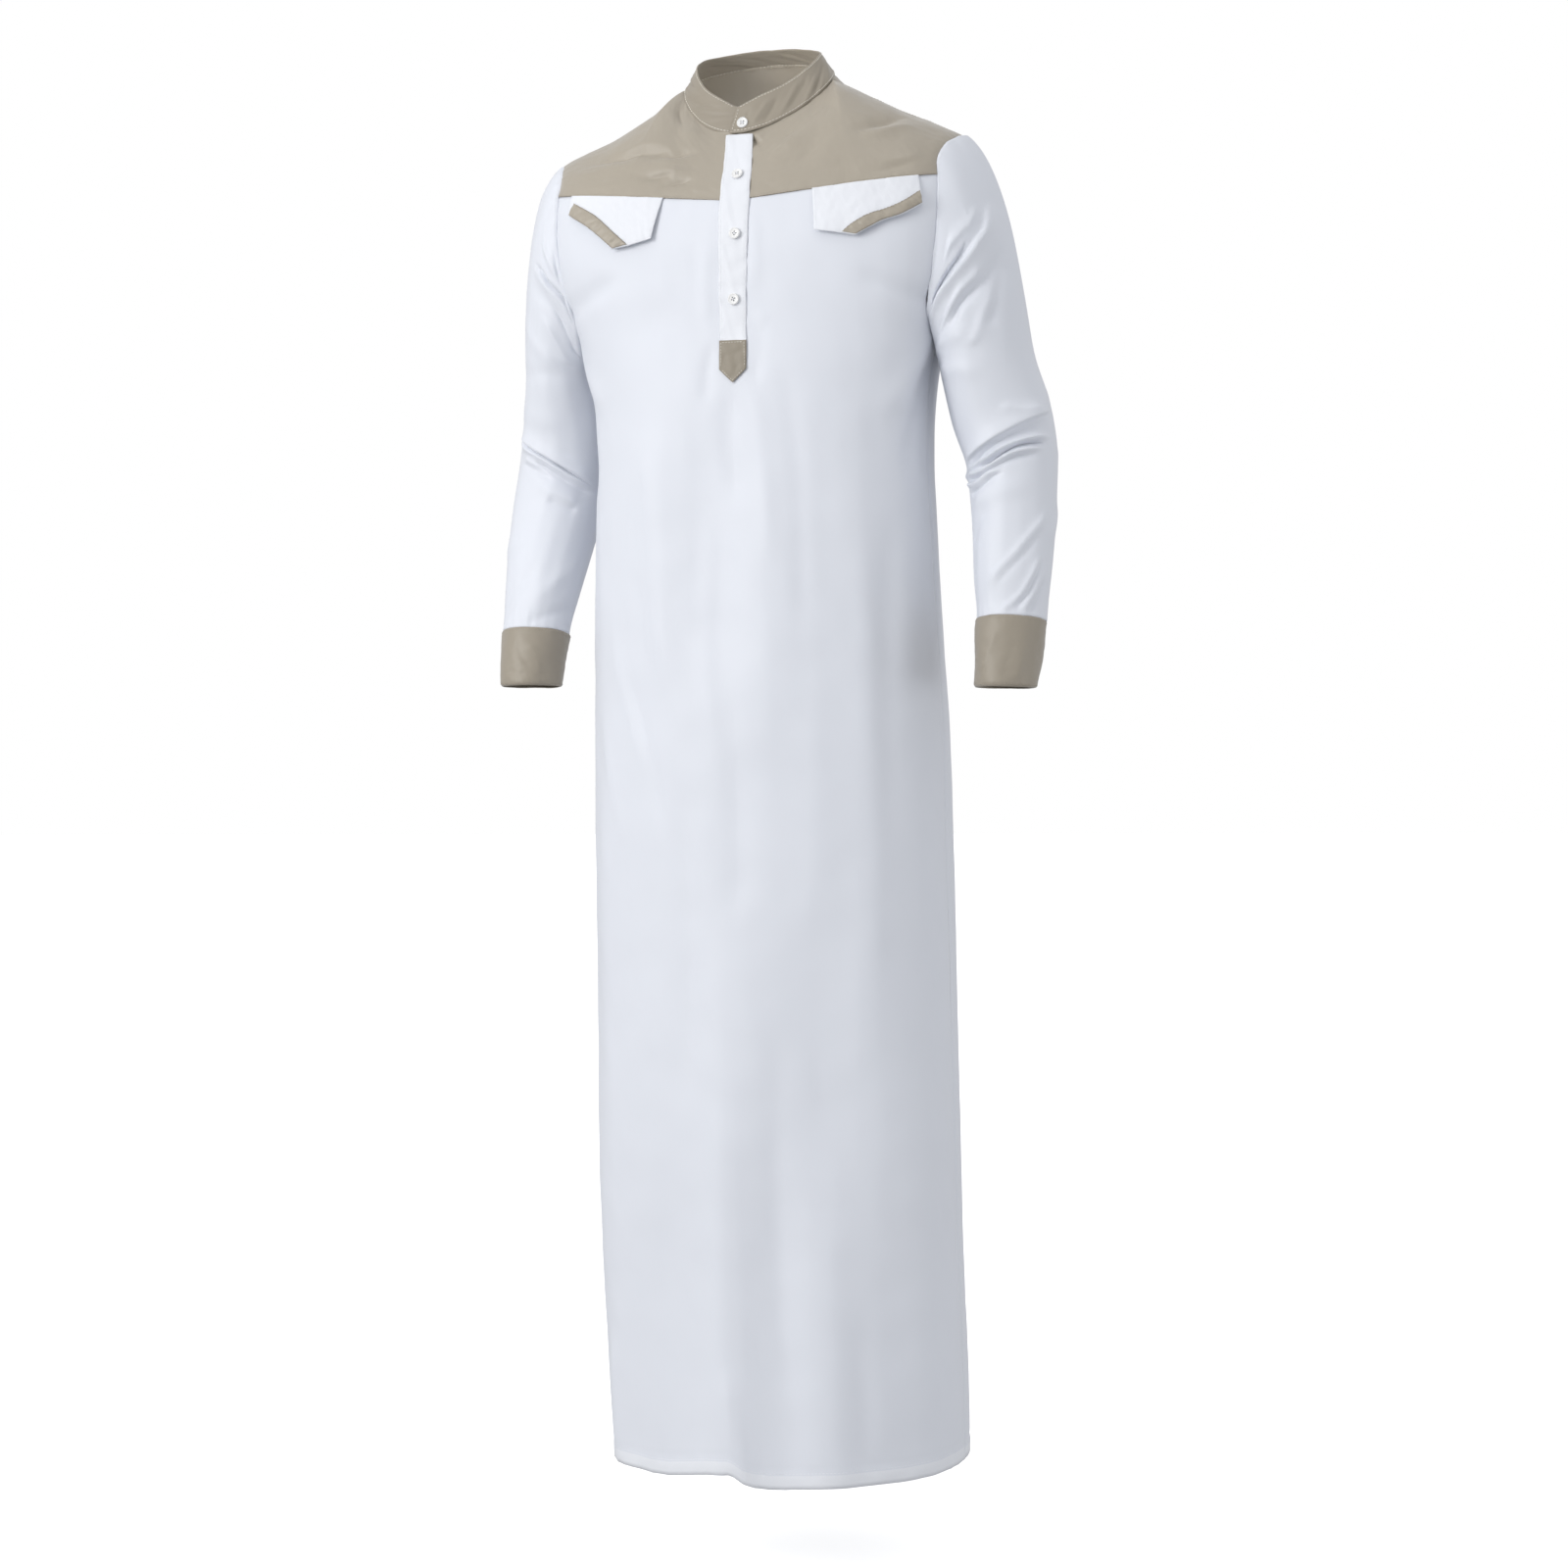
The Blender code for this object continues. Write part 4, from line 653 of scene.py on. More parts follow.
def shell(name, grid, thick, mat, outward, closed=False, holes=None, edges=(1, 1, 1, 1), uv_turn=0.0, inner_extra=None):
    """Closed wall from a grid of middle points (rows, columns, 3). Its edges thin to a rounded lip.

    outward is 1 or -1: which way the grid's normals count as the outside. edges says which of the first row, last
    row, left column and right column are lips. inner_extra adds thickness on the inside, as a turned hem does.
    """
    g = settle(grid)
    rows, cols = g.shape[:2]
    n = normals(g, closed) * outward
    lip = np.full((rows, cols), 1.0)
    r = thick * 0.5
    down, across = run_lengths(g, 0), run_lengths(g, 1)
    for use, dist in ((edges[0], down), (edges[1], down[-1:] - down),
                      (edges[2] and not closed, across), (edges[3] and not closed, across[:, -1:] - across)):
        if use:
            lip = np.minimum(lip, np.sqrt(np.clip(1 - (1 - np.clip(dist / r, 0, 1)) ** 2, 0.0, 1)))
    lip = np.maximum(lip, 0.12)
    out = g + n * (thick / 2 * lip)[..., None]
    extra = 0 if inner_extra is None else inner_extra
    inn = g - n * ((thick / 2 + extra) * lip)[..., None]
    mesh = bpy.data.meshes.new(name)
    verts = np.concatenate([out.reshape(-1, 3), inn.reshape(-1, 3)])
    m = rows * cols
    last = cols if closed else cols - 1
    i, j = np.meshgrid(np.arange(rows - 1), np.arange(last), indexing="ij")
    k = (j + 1) % cols
    quad = np.stack([i * cols + j, (i + 1) * cols + j, (i + 1) * cols + k, i * cols + k], -1)
    keep = np.ones(i.shape, bool)
    if holes is not None:
        for hi, hj in holes:
            keep[hi, hj] = False
    outer = quad[keep]
    flip = slice(None, None, -1) if outward > 0 else slice(None)      # columns x rows points out when outward is 1
    back = slice(None) if outward > 0 else slice(None, None, -1)
    faces_out, faces_in = outer[:, flip], (outer + m)[:, back]
    edge_count = {}
    for f in faces_out:
        for a, b in zip(f, np.roll(f, -1)):
            edge_count[(int(a), int(b))] = 1
    rim = [(b, a, a + m, b + m) for (a, b) in edge_count if (b, a) not in edge_count]
    faces = [tuple(map(int, f)) for f in faces_out] + [tuple(map(int, f)) for f in faces_in] + rim
    used = np.zeros(len(verts), bool)
    used[np.unique(np.concatenate([outer.ravel(), outer.ravel() + m]))] = True
    index = np.cumsum(used) - 1
    faces = [tuple(int(index[v]) for v in f) for f in faces]
    if closed:                      # one more column, so that the weave runs on across the last strip
        gap = np.linalg.norm(g[:, 0] - g[:, -1], axis=-1)[:, None]
        across = np.concatenate([across, across[:, -1:] + gap], 1)
        down = np.concatenate([down, down[:, :1]], 1)
    uv_grid = np.stack([across, -down], -1)
    if uv_turn:
        c, s = math.cos(uv_turn), math.sin(uv_turn)
        uv_grid = uv_grid @ np.array([[c, s], [-s, c]])
    corner = np.stack([uv_grid[i, j], uv_grid[i + 1, j], uv_grid[i + 1, j + 1], uv_grid[i, j + 1]], 2)[keep]
    rim_uv = np.array([[uv_grid[v % m // cols, v % m % cols] for v in f] for f in rim]).reshape(-1, 4, 2)
    uvs = np.concatenate([corner[:, flip], corner[:, back], rim_uv]).reshape(-1, 2)
    mesh.from_pydata(verts[used].tolist(), [], faces)
    layer = mesh.uv_layers.new(name="cloth")
    layer.data.foreach_set("uv", uvs.ravel())
    mesh.polygons.foreach_set("use_smooth", [True] * len(mesh.polygons))
    mesh.update()
    mesh.validate()
    ob = bpy.data.objects.new(name, mesh)
    bpy.context.scene.collection.objects.link(ob)
    mesh.materials.append(mat)
    AREAS[name] = grid_area(g, closed)
    OUTER_FACES[name] = len(faces_out)
    return ob


def carry(ob, nodes=(), parent="root"):
    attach(ob, parent)
    if nodes:
        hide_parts(*nodes)
    return ob


def away(g, distance, closed=False):
    d = distance if np.isscalar(distance) else np.asarray(distance)[..., None]
    return g + normals(g, closed) * d


# ------------------------------------------------------------------ stitches
STITCHES = {"white": [], "tan": [], "cream": [], "brown": []}


def stitch_row(points, outs, colour, length=0.0026, gap=0.0009, radius=0.00022, sink=0.0):
    """Adds stitches along a line; points and the outward directions there are arrays (n, 3)."""
    p = settle(points)
    o = np.asarray(outs, float)
    s = np.concatenate([[0], np.cumsum(np.linalg.norm(np.diff(p, axis=0), axis=1))])
    count = int((s[-1] - gap) // (length + gap))
    for c in range(max(count, 0)):
        a = gap + c * (length + gap)
        q = np.linspace(a, a + length, 5)
        pts = np.stack([np.interp(q, s, p[:, k]) for k in range(3)], -1)
        nn = np.stack([np.interp(q, s, o[:, k]) for k in range(3)], -1)
        nn /= np.linalg.norm(nn, axis=1, keepdims=True)
        rise = np.array([-0.9, 0.55, 0.75, 0.55, -0.9]) * radius - sink
        STITCHES[colour].append((pts + nn * rise[:, None], nn, radius))


def make_stitches():
    mats = {"white": THREAD_WHITE, "tan": THREAD_TAN, "cream": THREAD_CREAM, "brown": THREAD_PAINTED_SEAM_SHADOW}
    for colour, rows in STITCHES.items():
        verts, faces = [], []
        for pts, nn, r in rows:
            base = len(verts)
            t = np.gradient(pts, axis=0)
            t /= np.linalg.norm(t, axis=1, keepdims=True)
            side = np.cross(t, nn)
            side /= np.linalg.norm(side, axis=1, keepdims=True)
            up = np.cross(side, t)
            scale = (0.35, 0.9, 1.0, 0.9, 0.35)
            for i in range(5):
                for a in range(6):
                    ang = a * math.pi / 3
                    verts.append(pts[i] + (side[i] * math.cos(ang) + up[i] * math.sin(ang)) * r * scale[i])
            for i in range(4):
                for a in range(6):
                    b = (a + 1) % 6
                    faces.append((base + i * 6 + a, base + i * 6 + b, base + (i + 1) * 6 + b, base + (i + 1) * 6 + a))
            faces.append(tuple(base + a for a in reversed(range(6))))
            faces.append(tuple(base + 24 + a for a in range(6)))
        if not rows:
            continue
        mesh = bpy.data.meshes.new("stitches_" + colour)
        mesh.from_pydata([tuple(map(float, v)) for v in verts], [], faces)
        mesh.polygons.foreach_set("use_smooth", [True] * len(mesh.polygons))
        mesh.update()
        ob = bpy.data.objects.new("stitches_" + colour, mesh)
        bpy.context.scene.collection.objects.link(ob)
        mesh.materials.append(mats[colour])
        carry(ob)


def along(grid, row=None, col=None, inset=0.0, outward=1, lift=0.0, closed=False):
    """Points and outward directions along a grid's row or column, moved inset metres in from that border and lifted."""
    g = np.asarray(grid, float)
    n = normals(g, closed) * outward
    if row is not None:
        k = 0 if row == 0 else -1
        s = np.abs(run_lengths(g if k == 0 else g[::-1], 0))
        gg, nn = (g, n) if k == 0 else (g[::-1], n[::-1])
        p = np.array([[np.interp(inset, s[:, j], gg[:, j, c]) for c in range(3)] for j in range(g.shape[1])])
        o = np.array([[np.interp(inset, s[:, j], nn[:, j, c]) for c in range(3)] for j in range(g.shape[1])])
    else:
        k = 0 if col == 0 else -1
        gg, nn = (g, n) if k == 0 else (g[:, ::-1], n[:, ::-1])
        s = np.abs(run_lengths(gg, 1))
        p = np.array([[np.interp(inset, s[i], gg[i, :, c]) for c in range(3)] for i in range(g.shape[0])])
        o = np.array([[np.interp(inset, s[i], nn[i, :, c]) for c in range(3)] for i in range(g.shape[0])])
    return p + o * lift, o

# ------------------------------------------------------------------ front and back panels
def panel_rows(n_arm, n_body):
    k = np.linspace(0, 1, n_arm)
    arm = np.concatenate([[-0.022], 1 - (1 - k) ** 1.35])      # closer together towards the underarm
    low = np.linspace(UNDERARM_Z, HEM_Z, n_body + 1)[1:]
    return arm, low


def panel_grid(back, s, arm, low):
    key = "back" if back else "front"
    rows_t, rows_z = [], []
    for k in arm:
        z = seam_z(np.minimum(np.abs(s), 1), back) * (1 - k) + UNDERARM_Z * k
        edge = ARM[key](z)
        rows_t.append(s * (1 - (1 - edge) * s ** 2))
        rows_z.append(z)
    for z in low:
        zz = np.full_like(s, z)
        if not back:
            zz = zz + (hem_height(s) - HEM_Z) * smooth((-1.15 - z) / 0.22)
        rows_t.append(s.copy())
        rows_z.append(zz)
    t, z = np.array(rows_t), np.array(rows_z)
    full = np.where(t == 0, 2.0, np.sign(t) * 2 - t) if back else t
    base = cloth(full, z)
    u = t * ARC[key](z)
    fine = 1.45 * line_rise(np.stack([u, z], -1), (FINE_BACK if back else FINE_FRONT).values())
    fine += 0.00055 * crumple(u, z * 0.22, 11 if back else 7, 0.085) * smooth((z + 1.45) / 0.5 + 0.35)
    fine += 0.00022 * crumple(u, z * 0.5, 12 if back else 8, 0.030)
    fine -= 0.0013 * smooth((np.abs(s) - 1.0) / 0.012)[None, :]
    fine[0] -= 0.0006
    grid = base + section_normal(full, z) * fine[..., None]
    down = run_lengths(grid, 0)
    across = run_lengths(grid, 1)
    n = normals(grid) * (-1 if back else 1)
    if not back:
        n = n * np.sign((n * section_normal(full, z)).sum(-1, keepdims=True))
    else:
        n = n * np.sign((n * section_normal(full, z)).sum(-1, keepdims=True))
    wave = 0.5 + 0.5 * crumple(u, z * 0, 21, 0.016)
    down = np.maximum(down - down[1:2], 0)
    pucker = 0.00055 * wave * np.exp(-(down / 0.010) ** 2) * smooth(down / 0.0015)
    arm_side = np.minimum(across, across[:, -1:] - across)
    above = smooth((z - UNDERARM_Z + 0.002) / 0.02)
    pucker += 0.00040 * (0.5 + 0.5 * crumple(z, u * 0, 22, 0.015)) * np.exp(-(arm_side / 0.008) ** 2) * above
    hem_d = down[-1:] - down
    roll = 0.00045 * np.exp(-((hem_d - HEM_BAND) / 0.0016) ** 2) * -1 + 0.00030 * smooth((HEM_BAND - hem_d) / 0.002)
    roll += 0.00035 * crumple(u, hem_d, 31, 0.014) * smooth((0.030 - hem_d) / 0.02)
    grid = grid + n * (pucker + roll)[..., None]
    return grid, t, z, hem_d


def make_body():
    arm, low = panel_rows(54, 252)
    mid = PLACKET_X / float(ARC["front"](-0.2))
    half = SLIT_W / 2 / float(ARC["front"](-0.2))
    side = np.linspace(0.025, 1.0, 54)
    s = np.array(sorted(list(-side) + [mid - half, mid + half] + list(side)))
    j = 54
    g, t, z, hem_d = panel_grid(False, s, arm, low)
    extra = 0.0007 * smooth((HEM_BAND - hem_d) / 0.0012)
    slit = [(i, j) for i in range(len(arm) - 2)]
    ob = shell("front_body_cloth", g, CLOTH_SHOWN, WHITE, outward=front_sign(g), holes=slit, inner_extra=extra)
    carry(ob, ("front_body",))
    double_hem(ob, hem_d)
    p, o = along(g, row=-1, inset=HEM_BAND - 0.0016, outward=front_sign(g), lift=CLOTH_SHOWN / 2)
    stitch_row(p, o, "white", 0.0028, 0.0010, 0.00020)
    s = np.concatenate([[-1.022, -1.010], np.linspace(-1, 1, 87), [1.010, 1.022]])
    arm, low = panel_rows(44, 196)
    g, t, z, hem_d = panel_grid(True, s, arm, low)
    extra = 0.0007 * smooth((HEM_BAND - hem_d) / 0.0012)
    ob = shell("back_body_cloth", g, CLOTH_SHOWN, WHITE, outward=back_sign(g), inner_extra=extra)
    carry(ob, ("back_body",))
    double_hem(ob, hem_d)
    p, o = along(g, row=-1, inset=HEM_BAND - 0.0016, outward=back_sign(g), lift=CLOTH_SHOWN / 2)
    stitch_row(p, o, "white", 0.0028, 0.0010, 0.00020)


def double_hem(ob, hem_d):
    """The turned-up hem is two cloths thick and looks lighter: its faces take the doubled cloth."""
    ob.data.materials.append(WHITE2)
    band = int((hem_d[:-1].mean(1) < HEM_BAND).sum()) * (hem_d.shape[1] - 1)
    outer = OUTER_FACES[ob.name]
    slots = np.zeros(len(ob.data.polygons), dtype=np.int32)
    slots[outer - band:outer] = 1
    slots[2 * outer - band:2 * outer] = 1
    ob.data.polygons.foreach_set("material_index", slots)


def front_sign(g):
    n = normals(g)[g.shape[0] // 2, g.shape[1] // 2]
    return 1 if n[1] < 0 else -1


def back_sign(g):
    n = normals(g)[g.shape[0] // 2, g.shape[1] // 2]
    return 1 if n[1] > 0 else -1


# ------------------------------------------------------------------ yokes
YOKE_SPAN, YOKE_DROP = 0.21, 0.12           # metres for one step of s and of v
YOKE_LINE_COLS = ("across0", "down0", "across1", "down1", "width", "depth")
YOKE_LINES = {
    "right": (
        (0.205, 0.062, 0.055, 0.070, 0.0050, -0.0017), (0.200, 0.051, 0.070, 0.060, 0.0060, 0.0013),
        (0.175, 0.100, 0.050, 0.098, 0.0042, -0.0015), (0.180, 0.090, 0.060, 0.087, 0.0060, 0.0011),
        (0.150, 0.040, 0.090, 0.052, 0.0060, -0.0010), (0.095, 0.012, 0.075, 0.040, 0.0060, -0.0010),
        (0.040, 0.030, 0.020, 0.060, 0.0040, -0.0009), (0.200, 0.114, 0.130, 0.112, 0.0040, 0.0008),
    ),
    "left": (
        (0.145, 0.104, 0.175, 0.110, 0.0035, -0.0012), (0.150, 0.096, 0.180, 0.102, 0.0050, 0.0010),
        (0.020, 0.020, 0.034, 0.046, 0.0036, -0.0012), (0.026, 0.050, 0.060, 0.078, 0.0060, 0.0009),
        (0.100, 0.020, 0.150, 0.052, 0.0080, -0.0012), (0.060, 0.070, 0.140, 0.084, 0.0080, 0.0010),
        (0.190, 0.030, 0.200, 0.100, 0.0060, -0.0010), (0.085, 0.100, 0.125, 0.108, 0.0045, -0.0008),
    ),
    "back": (
        (-0.190, 0.050, -0.080, 0.070, 0.0070, -0.0016), (0.195, 0.040, 0.090, 0.066, 0.0070, -0.0016),
        (-0.070, 0.020, -0.040, 0.080, 0.0080, 0.0012), (0.060, 0.016, 0.040, 0.084, 0.0080, 0.0012),
        (-0.160, 0.090, -0.060, 0.096, 0.0060, 0.0010), (0.030, 0.100, 0.150, 0.092, 0.0060, -0.0010),
        (0.180, 0.076, 0.110, 0.086, 0.0060, 0.0012),
    ),
}


YOKE_CREASES = {      # width above, width below, rise, then points (metres from the centre, metres down from the top edge)
    "right": {
        "long trough": (0.0050, 0.0022, -0.0027, (0.1945, 0.0783), (0.1714, 0.0735), (0.1450, 0.0755), (0.1299, 0.0773), (0.0913, 0.0708),
                        (0.0611, 0.0482)),
        "long ridge": (0.0040, 0.0034, 0.0017, (0.1573, 0.0618), (0.1229, 0.0680), (0.0843, 0.0570)),
        "second trough": (0.0036, 0.0020, -0.0024, (0.1150, 0.0850), (0.1082, 0.0828), (0.0716, 0.0678), (0.0372, 0.0387)),
        "second ridge": (0.0026, 0.0034, 0.0014, (0.1011, 0.0890), (0.0702, 0.0745), (0.0386, 0.0490)),
        "low trough": (0.0030, 0.0020, -0.0016, (0.1061, 0.1090), (0.0878, 0.1009), (0.0632, 0.0894)),
        "low trough 2": (0.0030, 0.0020, -0.0018, (0.0850, 0.1125), (0.0604, 0.1024), (0.0358, 0.0889)),
        "low ridge": (0.0030, 0.0030, 0.0012, (0.0950, 0.0990), (0.0700, 0.0880), (0.0420, 0.0760)),
        "broad ridge": (0.0090, 0.0100, 0.0022, (0.0800, 0.0520), (0.0723, 0.0440), (0.0506, 0.0206), (0.0288, 0.0040)),
        "neck trough": (0.0040, 0.0040, -0.0012, (0.0980, 0.0060), (0.0760, 0.0200), (0.0620, 0.0260)),
    },
    "left": {
        "neck tuck": (0.0024, 0.0030, -0.0022, (0.0098, 0.0020), (0.0133, 0.0075), (0.0211, 0.0216), (0.0260, 0.0300)),
        "neck tuck ridge": (0.0030, 0.0030, 0.0012, (0.0160, 0.0020), (0.0200, 0.0090), (0.0280, 0.0200)),
        "broad ridge": (0.0090, 0.0110, 0.0024, (0.0323, 0.0638), (0.0555, 0.0500), (0.0885, 0.0450)),
        "broad trough": (0.0110, 0.0080, -0.0016, (0.0500, 0.0900), (0.0800, 0.0760), (0.1100, 0.0720)),
        "shoulder trough": (0.0040, 0.0024, -0.0024, (0.1180, 0.0770), (0.1320, 0.0713), (0.1566, 0.0527), (0.1749, 0.0166)),
        "shoulder ridge": (0.0026, 0.0040, 0.0017, (0.1250, 0.0810), (0.1356, 0.0770), (0.1608, 0.0618), (0.1840, 0.0336)),
        "armhole trough": (0.0040, 0.0030, -0.0009, (0.1300, 0.1160), (0.1496, 0.1130), (0.1693, 0.1085), (0.2000, 0.1000)),
        "armhole ridge": (0.0040, 0.0036, 0.0008, (0.1400, 0.1080), (0.1700, 0.1010), (0.2000, 0.0900)),
        "collar trough": (0.0060, 0.0060, -0.0012, (0.0850, 0.0050), (0.1046, 0.0392), (0.1215, 0.0603)),
        "collar ridge": (0.0070, 0.0070, 0.0012, (0.0407, 0.0045), (0.0583, 0.0085), (0.0794, 0.0120)),
    },
    "back": {},
}


def yoke_fine(s, v, back, side):
    g = yoke(np.abs(s)[None, :], v[:, None], back)
    x = np.where(s < 0, -1, 1)[None, :, None] if side == 0 else side
    return g * np.concatenate([np.ones(g.shape[:2] + (1,)) * x, np.ones(g.shape[:2] + (2,))], -1)


def tuck_under_collar(g, s):
    """Adds two rows at the top that run up inside the collar band's thickness, so the neck seam is closed."""
    k = np.where(np.abs(s) < NECK_SHARE + 0.03, 1.0, 0.0)[:, None]
    top = g[0]
    x, y = top[:, 0], top[:, 1]
    th = np.arctan2(x / NECK_W, np.where(y < 0, -y / NECK_F, -y / NECK_B))
    n = neck(th)
    lift = collar_top(th) - n
    lift /= np.linalg.norm(lift, axis=-1, keepdims=True)
    out = np.stack([np.sin(th) / NECK_W, -np.cos(th) / NECK_F, np.zeros_like(th)], -1)
    out /= np.linalg.norm(out, axis=-1, keepdims=True)
    rows = [top + (n + lift * h + out * o - top) * k for h, o in ((0.0046, -0.0001), (0.0018, 0.0002))]
    return np.concatenate([np.array(rows), g])


def dress_yoke(g, s, v, key, outward):
    q = np.stack(np.broadcast_arrays(s[None, :] * YOKE_SPAN, v[:, None] * YOKE_DROP), -1)
    rise = line_rise(q, YOKE_LINES[key], bend=0.06) * (1.2 if key == "back" else 0.35)
    for upper, lower, depth, *points in YOKE_CREASES[key].values():
        rise += crease_rise(q, upper * 1.6, lower * 1.6, depth * 1.85, points, taper=0.48)
    seed = {"left": 41, "right": 42, "back": 43}[key]
    rise = rise + 0.00030 * crumple(q[..., 0], q[..., 1], seed, 0.040) + 0.00013 * crumple(q[..., 0], q[..., 1], seed + 5, 0.013)
    down = run_lengths(g, 0)
    left = down[-1:] - down
    lift = 0.00105 * smooth(v / 0.25)[:, None] * (1 - 0.6 * smooth((np.abs(s) - 0.96) / 0.04))[None, :]
    wave = crumple(q[..., 0], q[..., 0] * 0, seed + 9, 0.013)
    lift = lift + 0.00022 * wave * np.exp(-(left / 0.006) ** 2)
    lift = lift + 0.00020 * crumple(q[..., 0] + q[..., 1], q[..., 0] * 0, seed + 3, 0.012) * np.exp(-(down / 0.006) ** 2)
    return g + normals(g) * outward * (rise * smooth(down / 0.006) + lift)[..., None]


def make_yokes():
    for key, side in (("left", 1), ("right", -1)):
        v = np.concatenate([np.linspace(0, 1, 84)[:-1], [1.0, 1.006, 1.012]])
        edge = PLACKET_X + side * SLIT_W / 2
        s = np.linspace(0.018, 1.0, 128)
        g = yoke_fine(s, np.minimum(v, 1.0), False, side)
        tail = g[-3] - g[-4]
        tail /= np.linalg.norm(tail, axis=-1, keepdims=True)
        g[-2] = g[-3] + tail * 0.0008
        g[-1] = g[-3] + tail * 0.0015
        for i in range(len(g)):
            a, b = g[i, 0], g[i, 1]
            g[i, 0] = a + (b - a) * (edge - a[0]) / (b[0] - a[0])
        outward = 1 if normals(g)[40, 20][1] < 0 else -1
        g = dress_yoke(g, s, v, key, outward)
        ob = shell("yoke_front_" + key + "_cloth", tuck_under_collar(g, s), 0.0011, TAN, outward)
        carry(ob, ("yoke_front_" + key,))
        p, o = along(g, row=-1, inset=0.0020, outward=outward, lift=0.00055)
        stitch_row(p, o, "tan", 0.0024, 0.0009, 0.00019)
        # a dark thread row right at the yoke's lower edge: painted seam shadow
        p, o = along(g, row=-1, inset=0.0003, outward=outward, lift=0.00042)
        stitch_row(p, o, "brown", 0.0030, 0.0004, 0.00024)
    v = np.concatenate([np.linspace(0, 1, 56)[:-1], [1.0, 1.006, 1.012]])
    s = np.concatenate([-np.linspace(0.014, 1.0, 72)[::-1], np.linspace(0.0, 1.0, 73)])
    g = yoke_fine(s, np.minimum(v, 1.0), True, 0)
    tail = g[-3] - g[-4]
    tail /= np.linalg.norm(tail, axis=-1, keepdims=True)
    g[-2] = g[-3] + tail * 0.0008
    g[-1] = g[-3] + tail * 0.0015
    outward = 1 if normals(g)[40, 72][1] > 0 else -1
    g = dress_yoke(g, s, v, "back", outward)
    ob = shell("yoke_back_cloth", tuck_under_collar(g, s), 0.0011, TAN, outward)
    carry(ob, ("yoke_back",))
    p, o = along(g, row=-1, inset=0.0020, outward=outward, lift=0.00055)
    stitch_row(p, o, "tan", 0.0024, 0.0009, 0.00019)
    cut = int(np.argmin(np.abs(s - NECK_SHARE))) + 2
    p, o = along(g, row=0, inset=0.0024, outward=outward, lift=0.00055)
    stitch_row(p[cut:], o[cut:], "tan", 0.0024, 0.0009, 0.00019)
    cut = int(np.argmin(np.abs(s + NECK_SHARE))) - 2
    stitch_row(p[:cut], o[:cut], "tan", 0.0024, 0.0009, 0.00019)


# ------------------------------------------------------------------ sleeves and cuffs
GIRTH, RUN = 0.048, 0.26                      # metres for one radian of psi and one step of v
SLEEVE_LINE_COLS = ("psi0", "v0", "psi1", "v1", "width", "depth")
SLEEVE_LINES = {      # soft, mostly on the sides turned away
    "left": (
        (2.35, 0.56, 0.48, 0.62, 0.0110, -0.0018), (2.70, 0.62, 1.50, 0.80, 0.0120, 0.0016),
        (2.60, 0.90, 1.40, 1.02, 0.0120, 0.0016), (2.50, 1.545, 1.00, 1.500, 0.0100, 0.0018),
        (2.70, 1.700, 2.00, 1.560, 0.0080, -0.0018), (0.40, 1.700, -0.40, 1.560, 0.0100, 0.0016),
        (3.00, 1.375, 3.75, 1.330, 0.0055, -0.0044), (3.05, 1.430, 3.80, 1.450, 0.0060, -0.0036),
        (2.90, 1.400, 3.60, 1.395, 0.0060, 0.0034), (5.90, 1.240, 4.90, 1.120, 0.0100, -0.0028),
        (5.80, 1.360, 4.60, 1.370, 0.0110, 0.0030), (5.60, 1.480, 4.40, 1.560, 0.0090, -0.0026),
        (4.90, 1.700, 4.10, 1.930, 0.0080, -0.0022), (5.50, 1.720, 4.90, 1.980, 0.0080, 0.0020),
        (3.60, 0.20, 4.50, 0.52, 0.0070, -0.0038), (3.80, 0.34, 5.00, 0.62, 0.0090, 0.0036),
        (4.20, 0.80, 5.30, 0.92, 0.0110, -0.0024), (3.40, 1.10, 4.20, 1.00, 0.0110, 0.0024),
    ),
    "right": (
        (1.00, 0.52, 2.30, 0.36, 0.0100, -0.0012), (0.60, 0.70, 2.00, 0.80, 0.0110, 0.0012),
        (0.50, 0.95, 2.10, 0.88, 0.0120, -0.0012), (0.30, 1.08, 1.90, 1.14, 0.0120, 0.0012),
        (1.60, 1.990, 3.10, 1.905, 0.0065, -0.0018), (0.60, 1.960, 1.70, 1.760, 0.0085, -0.0016),
        (1.80, 1.900, 2.80, 1.720, 0.0090, 0.0018), (0.30, 1.700, 1.30, 1.640, 0.0100, 0.0012),
        (3.05, 1.420, 3.90, 1.350, 0.0060, -0.0040), (3.10, 1.470, 3.90, 1.490, 0.0065, -0.0034),
        (5.90, 1.230, 4.80, 1.130, 0.0100, -0.0028), (5.85, 1.350, 4.60, 1.380, 0.0110, 0.0030),
        (5.55, 1.490, 4.50, 1.570, 0.0090, -0.0026), (4.80, 1.720, 4.10, 1.950, 0.0080, -0.0022),
        (3.60, 0.22, 4.60, 0.50, 0.0070, -0.0036), (3.85, 0.36, 5.00, 0.64, 0.0090, 0.0034),
        (4.30, 0.82, 5.40, 0.94, 0.0110, -0.0022), (3.50, 1.12, 4.30, 1.02, 0.0110, 0.0022),
    ),
}
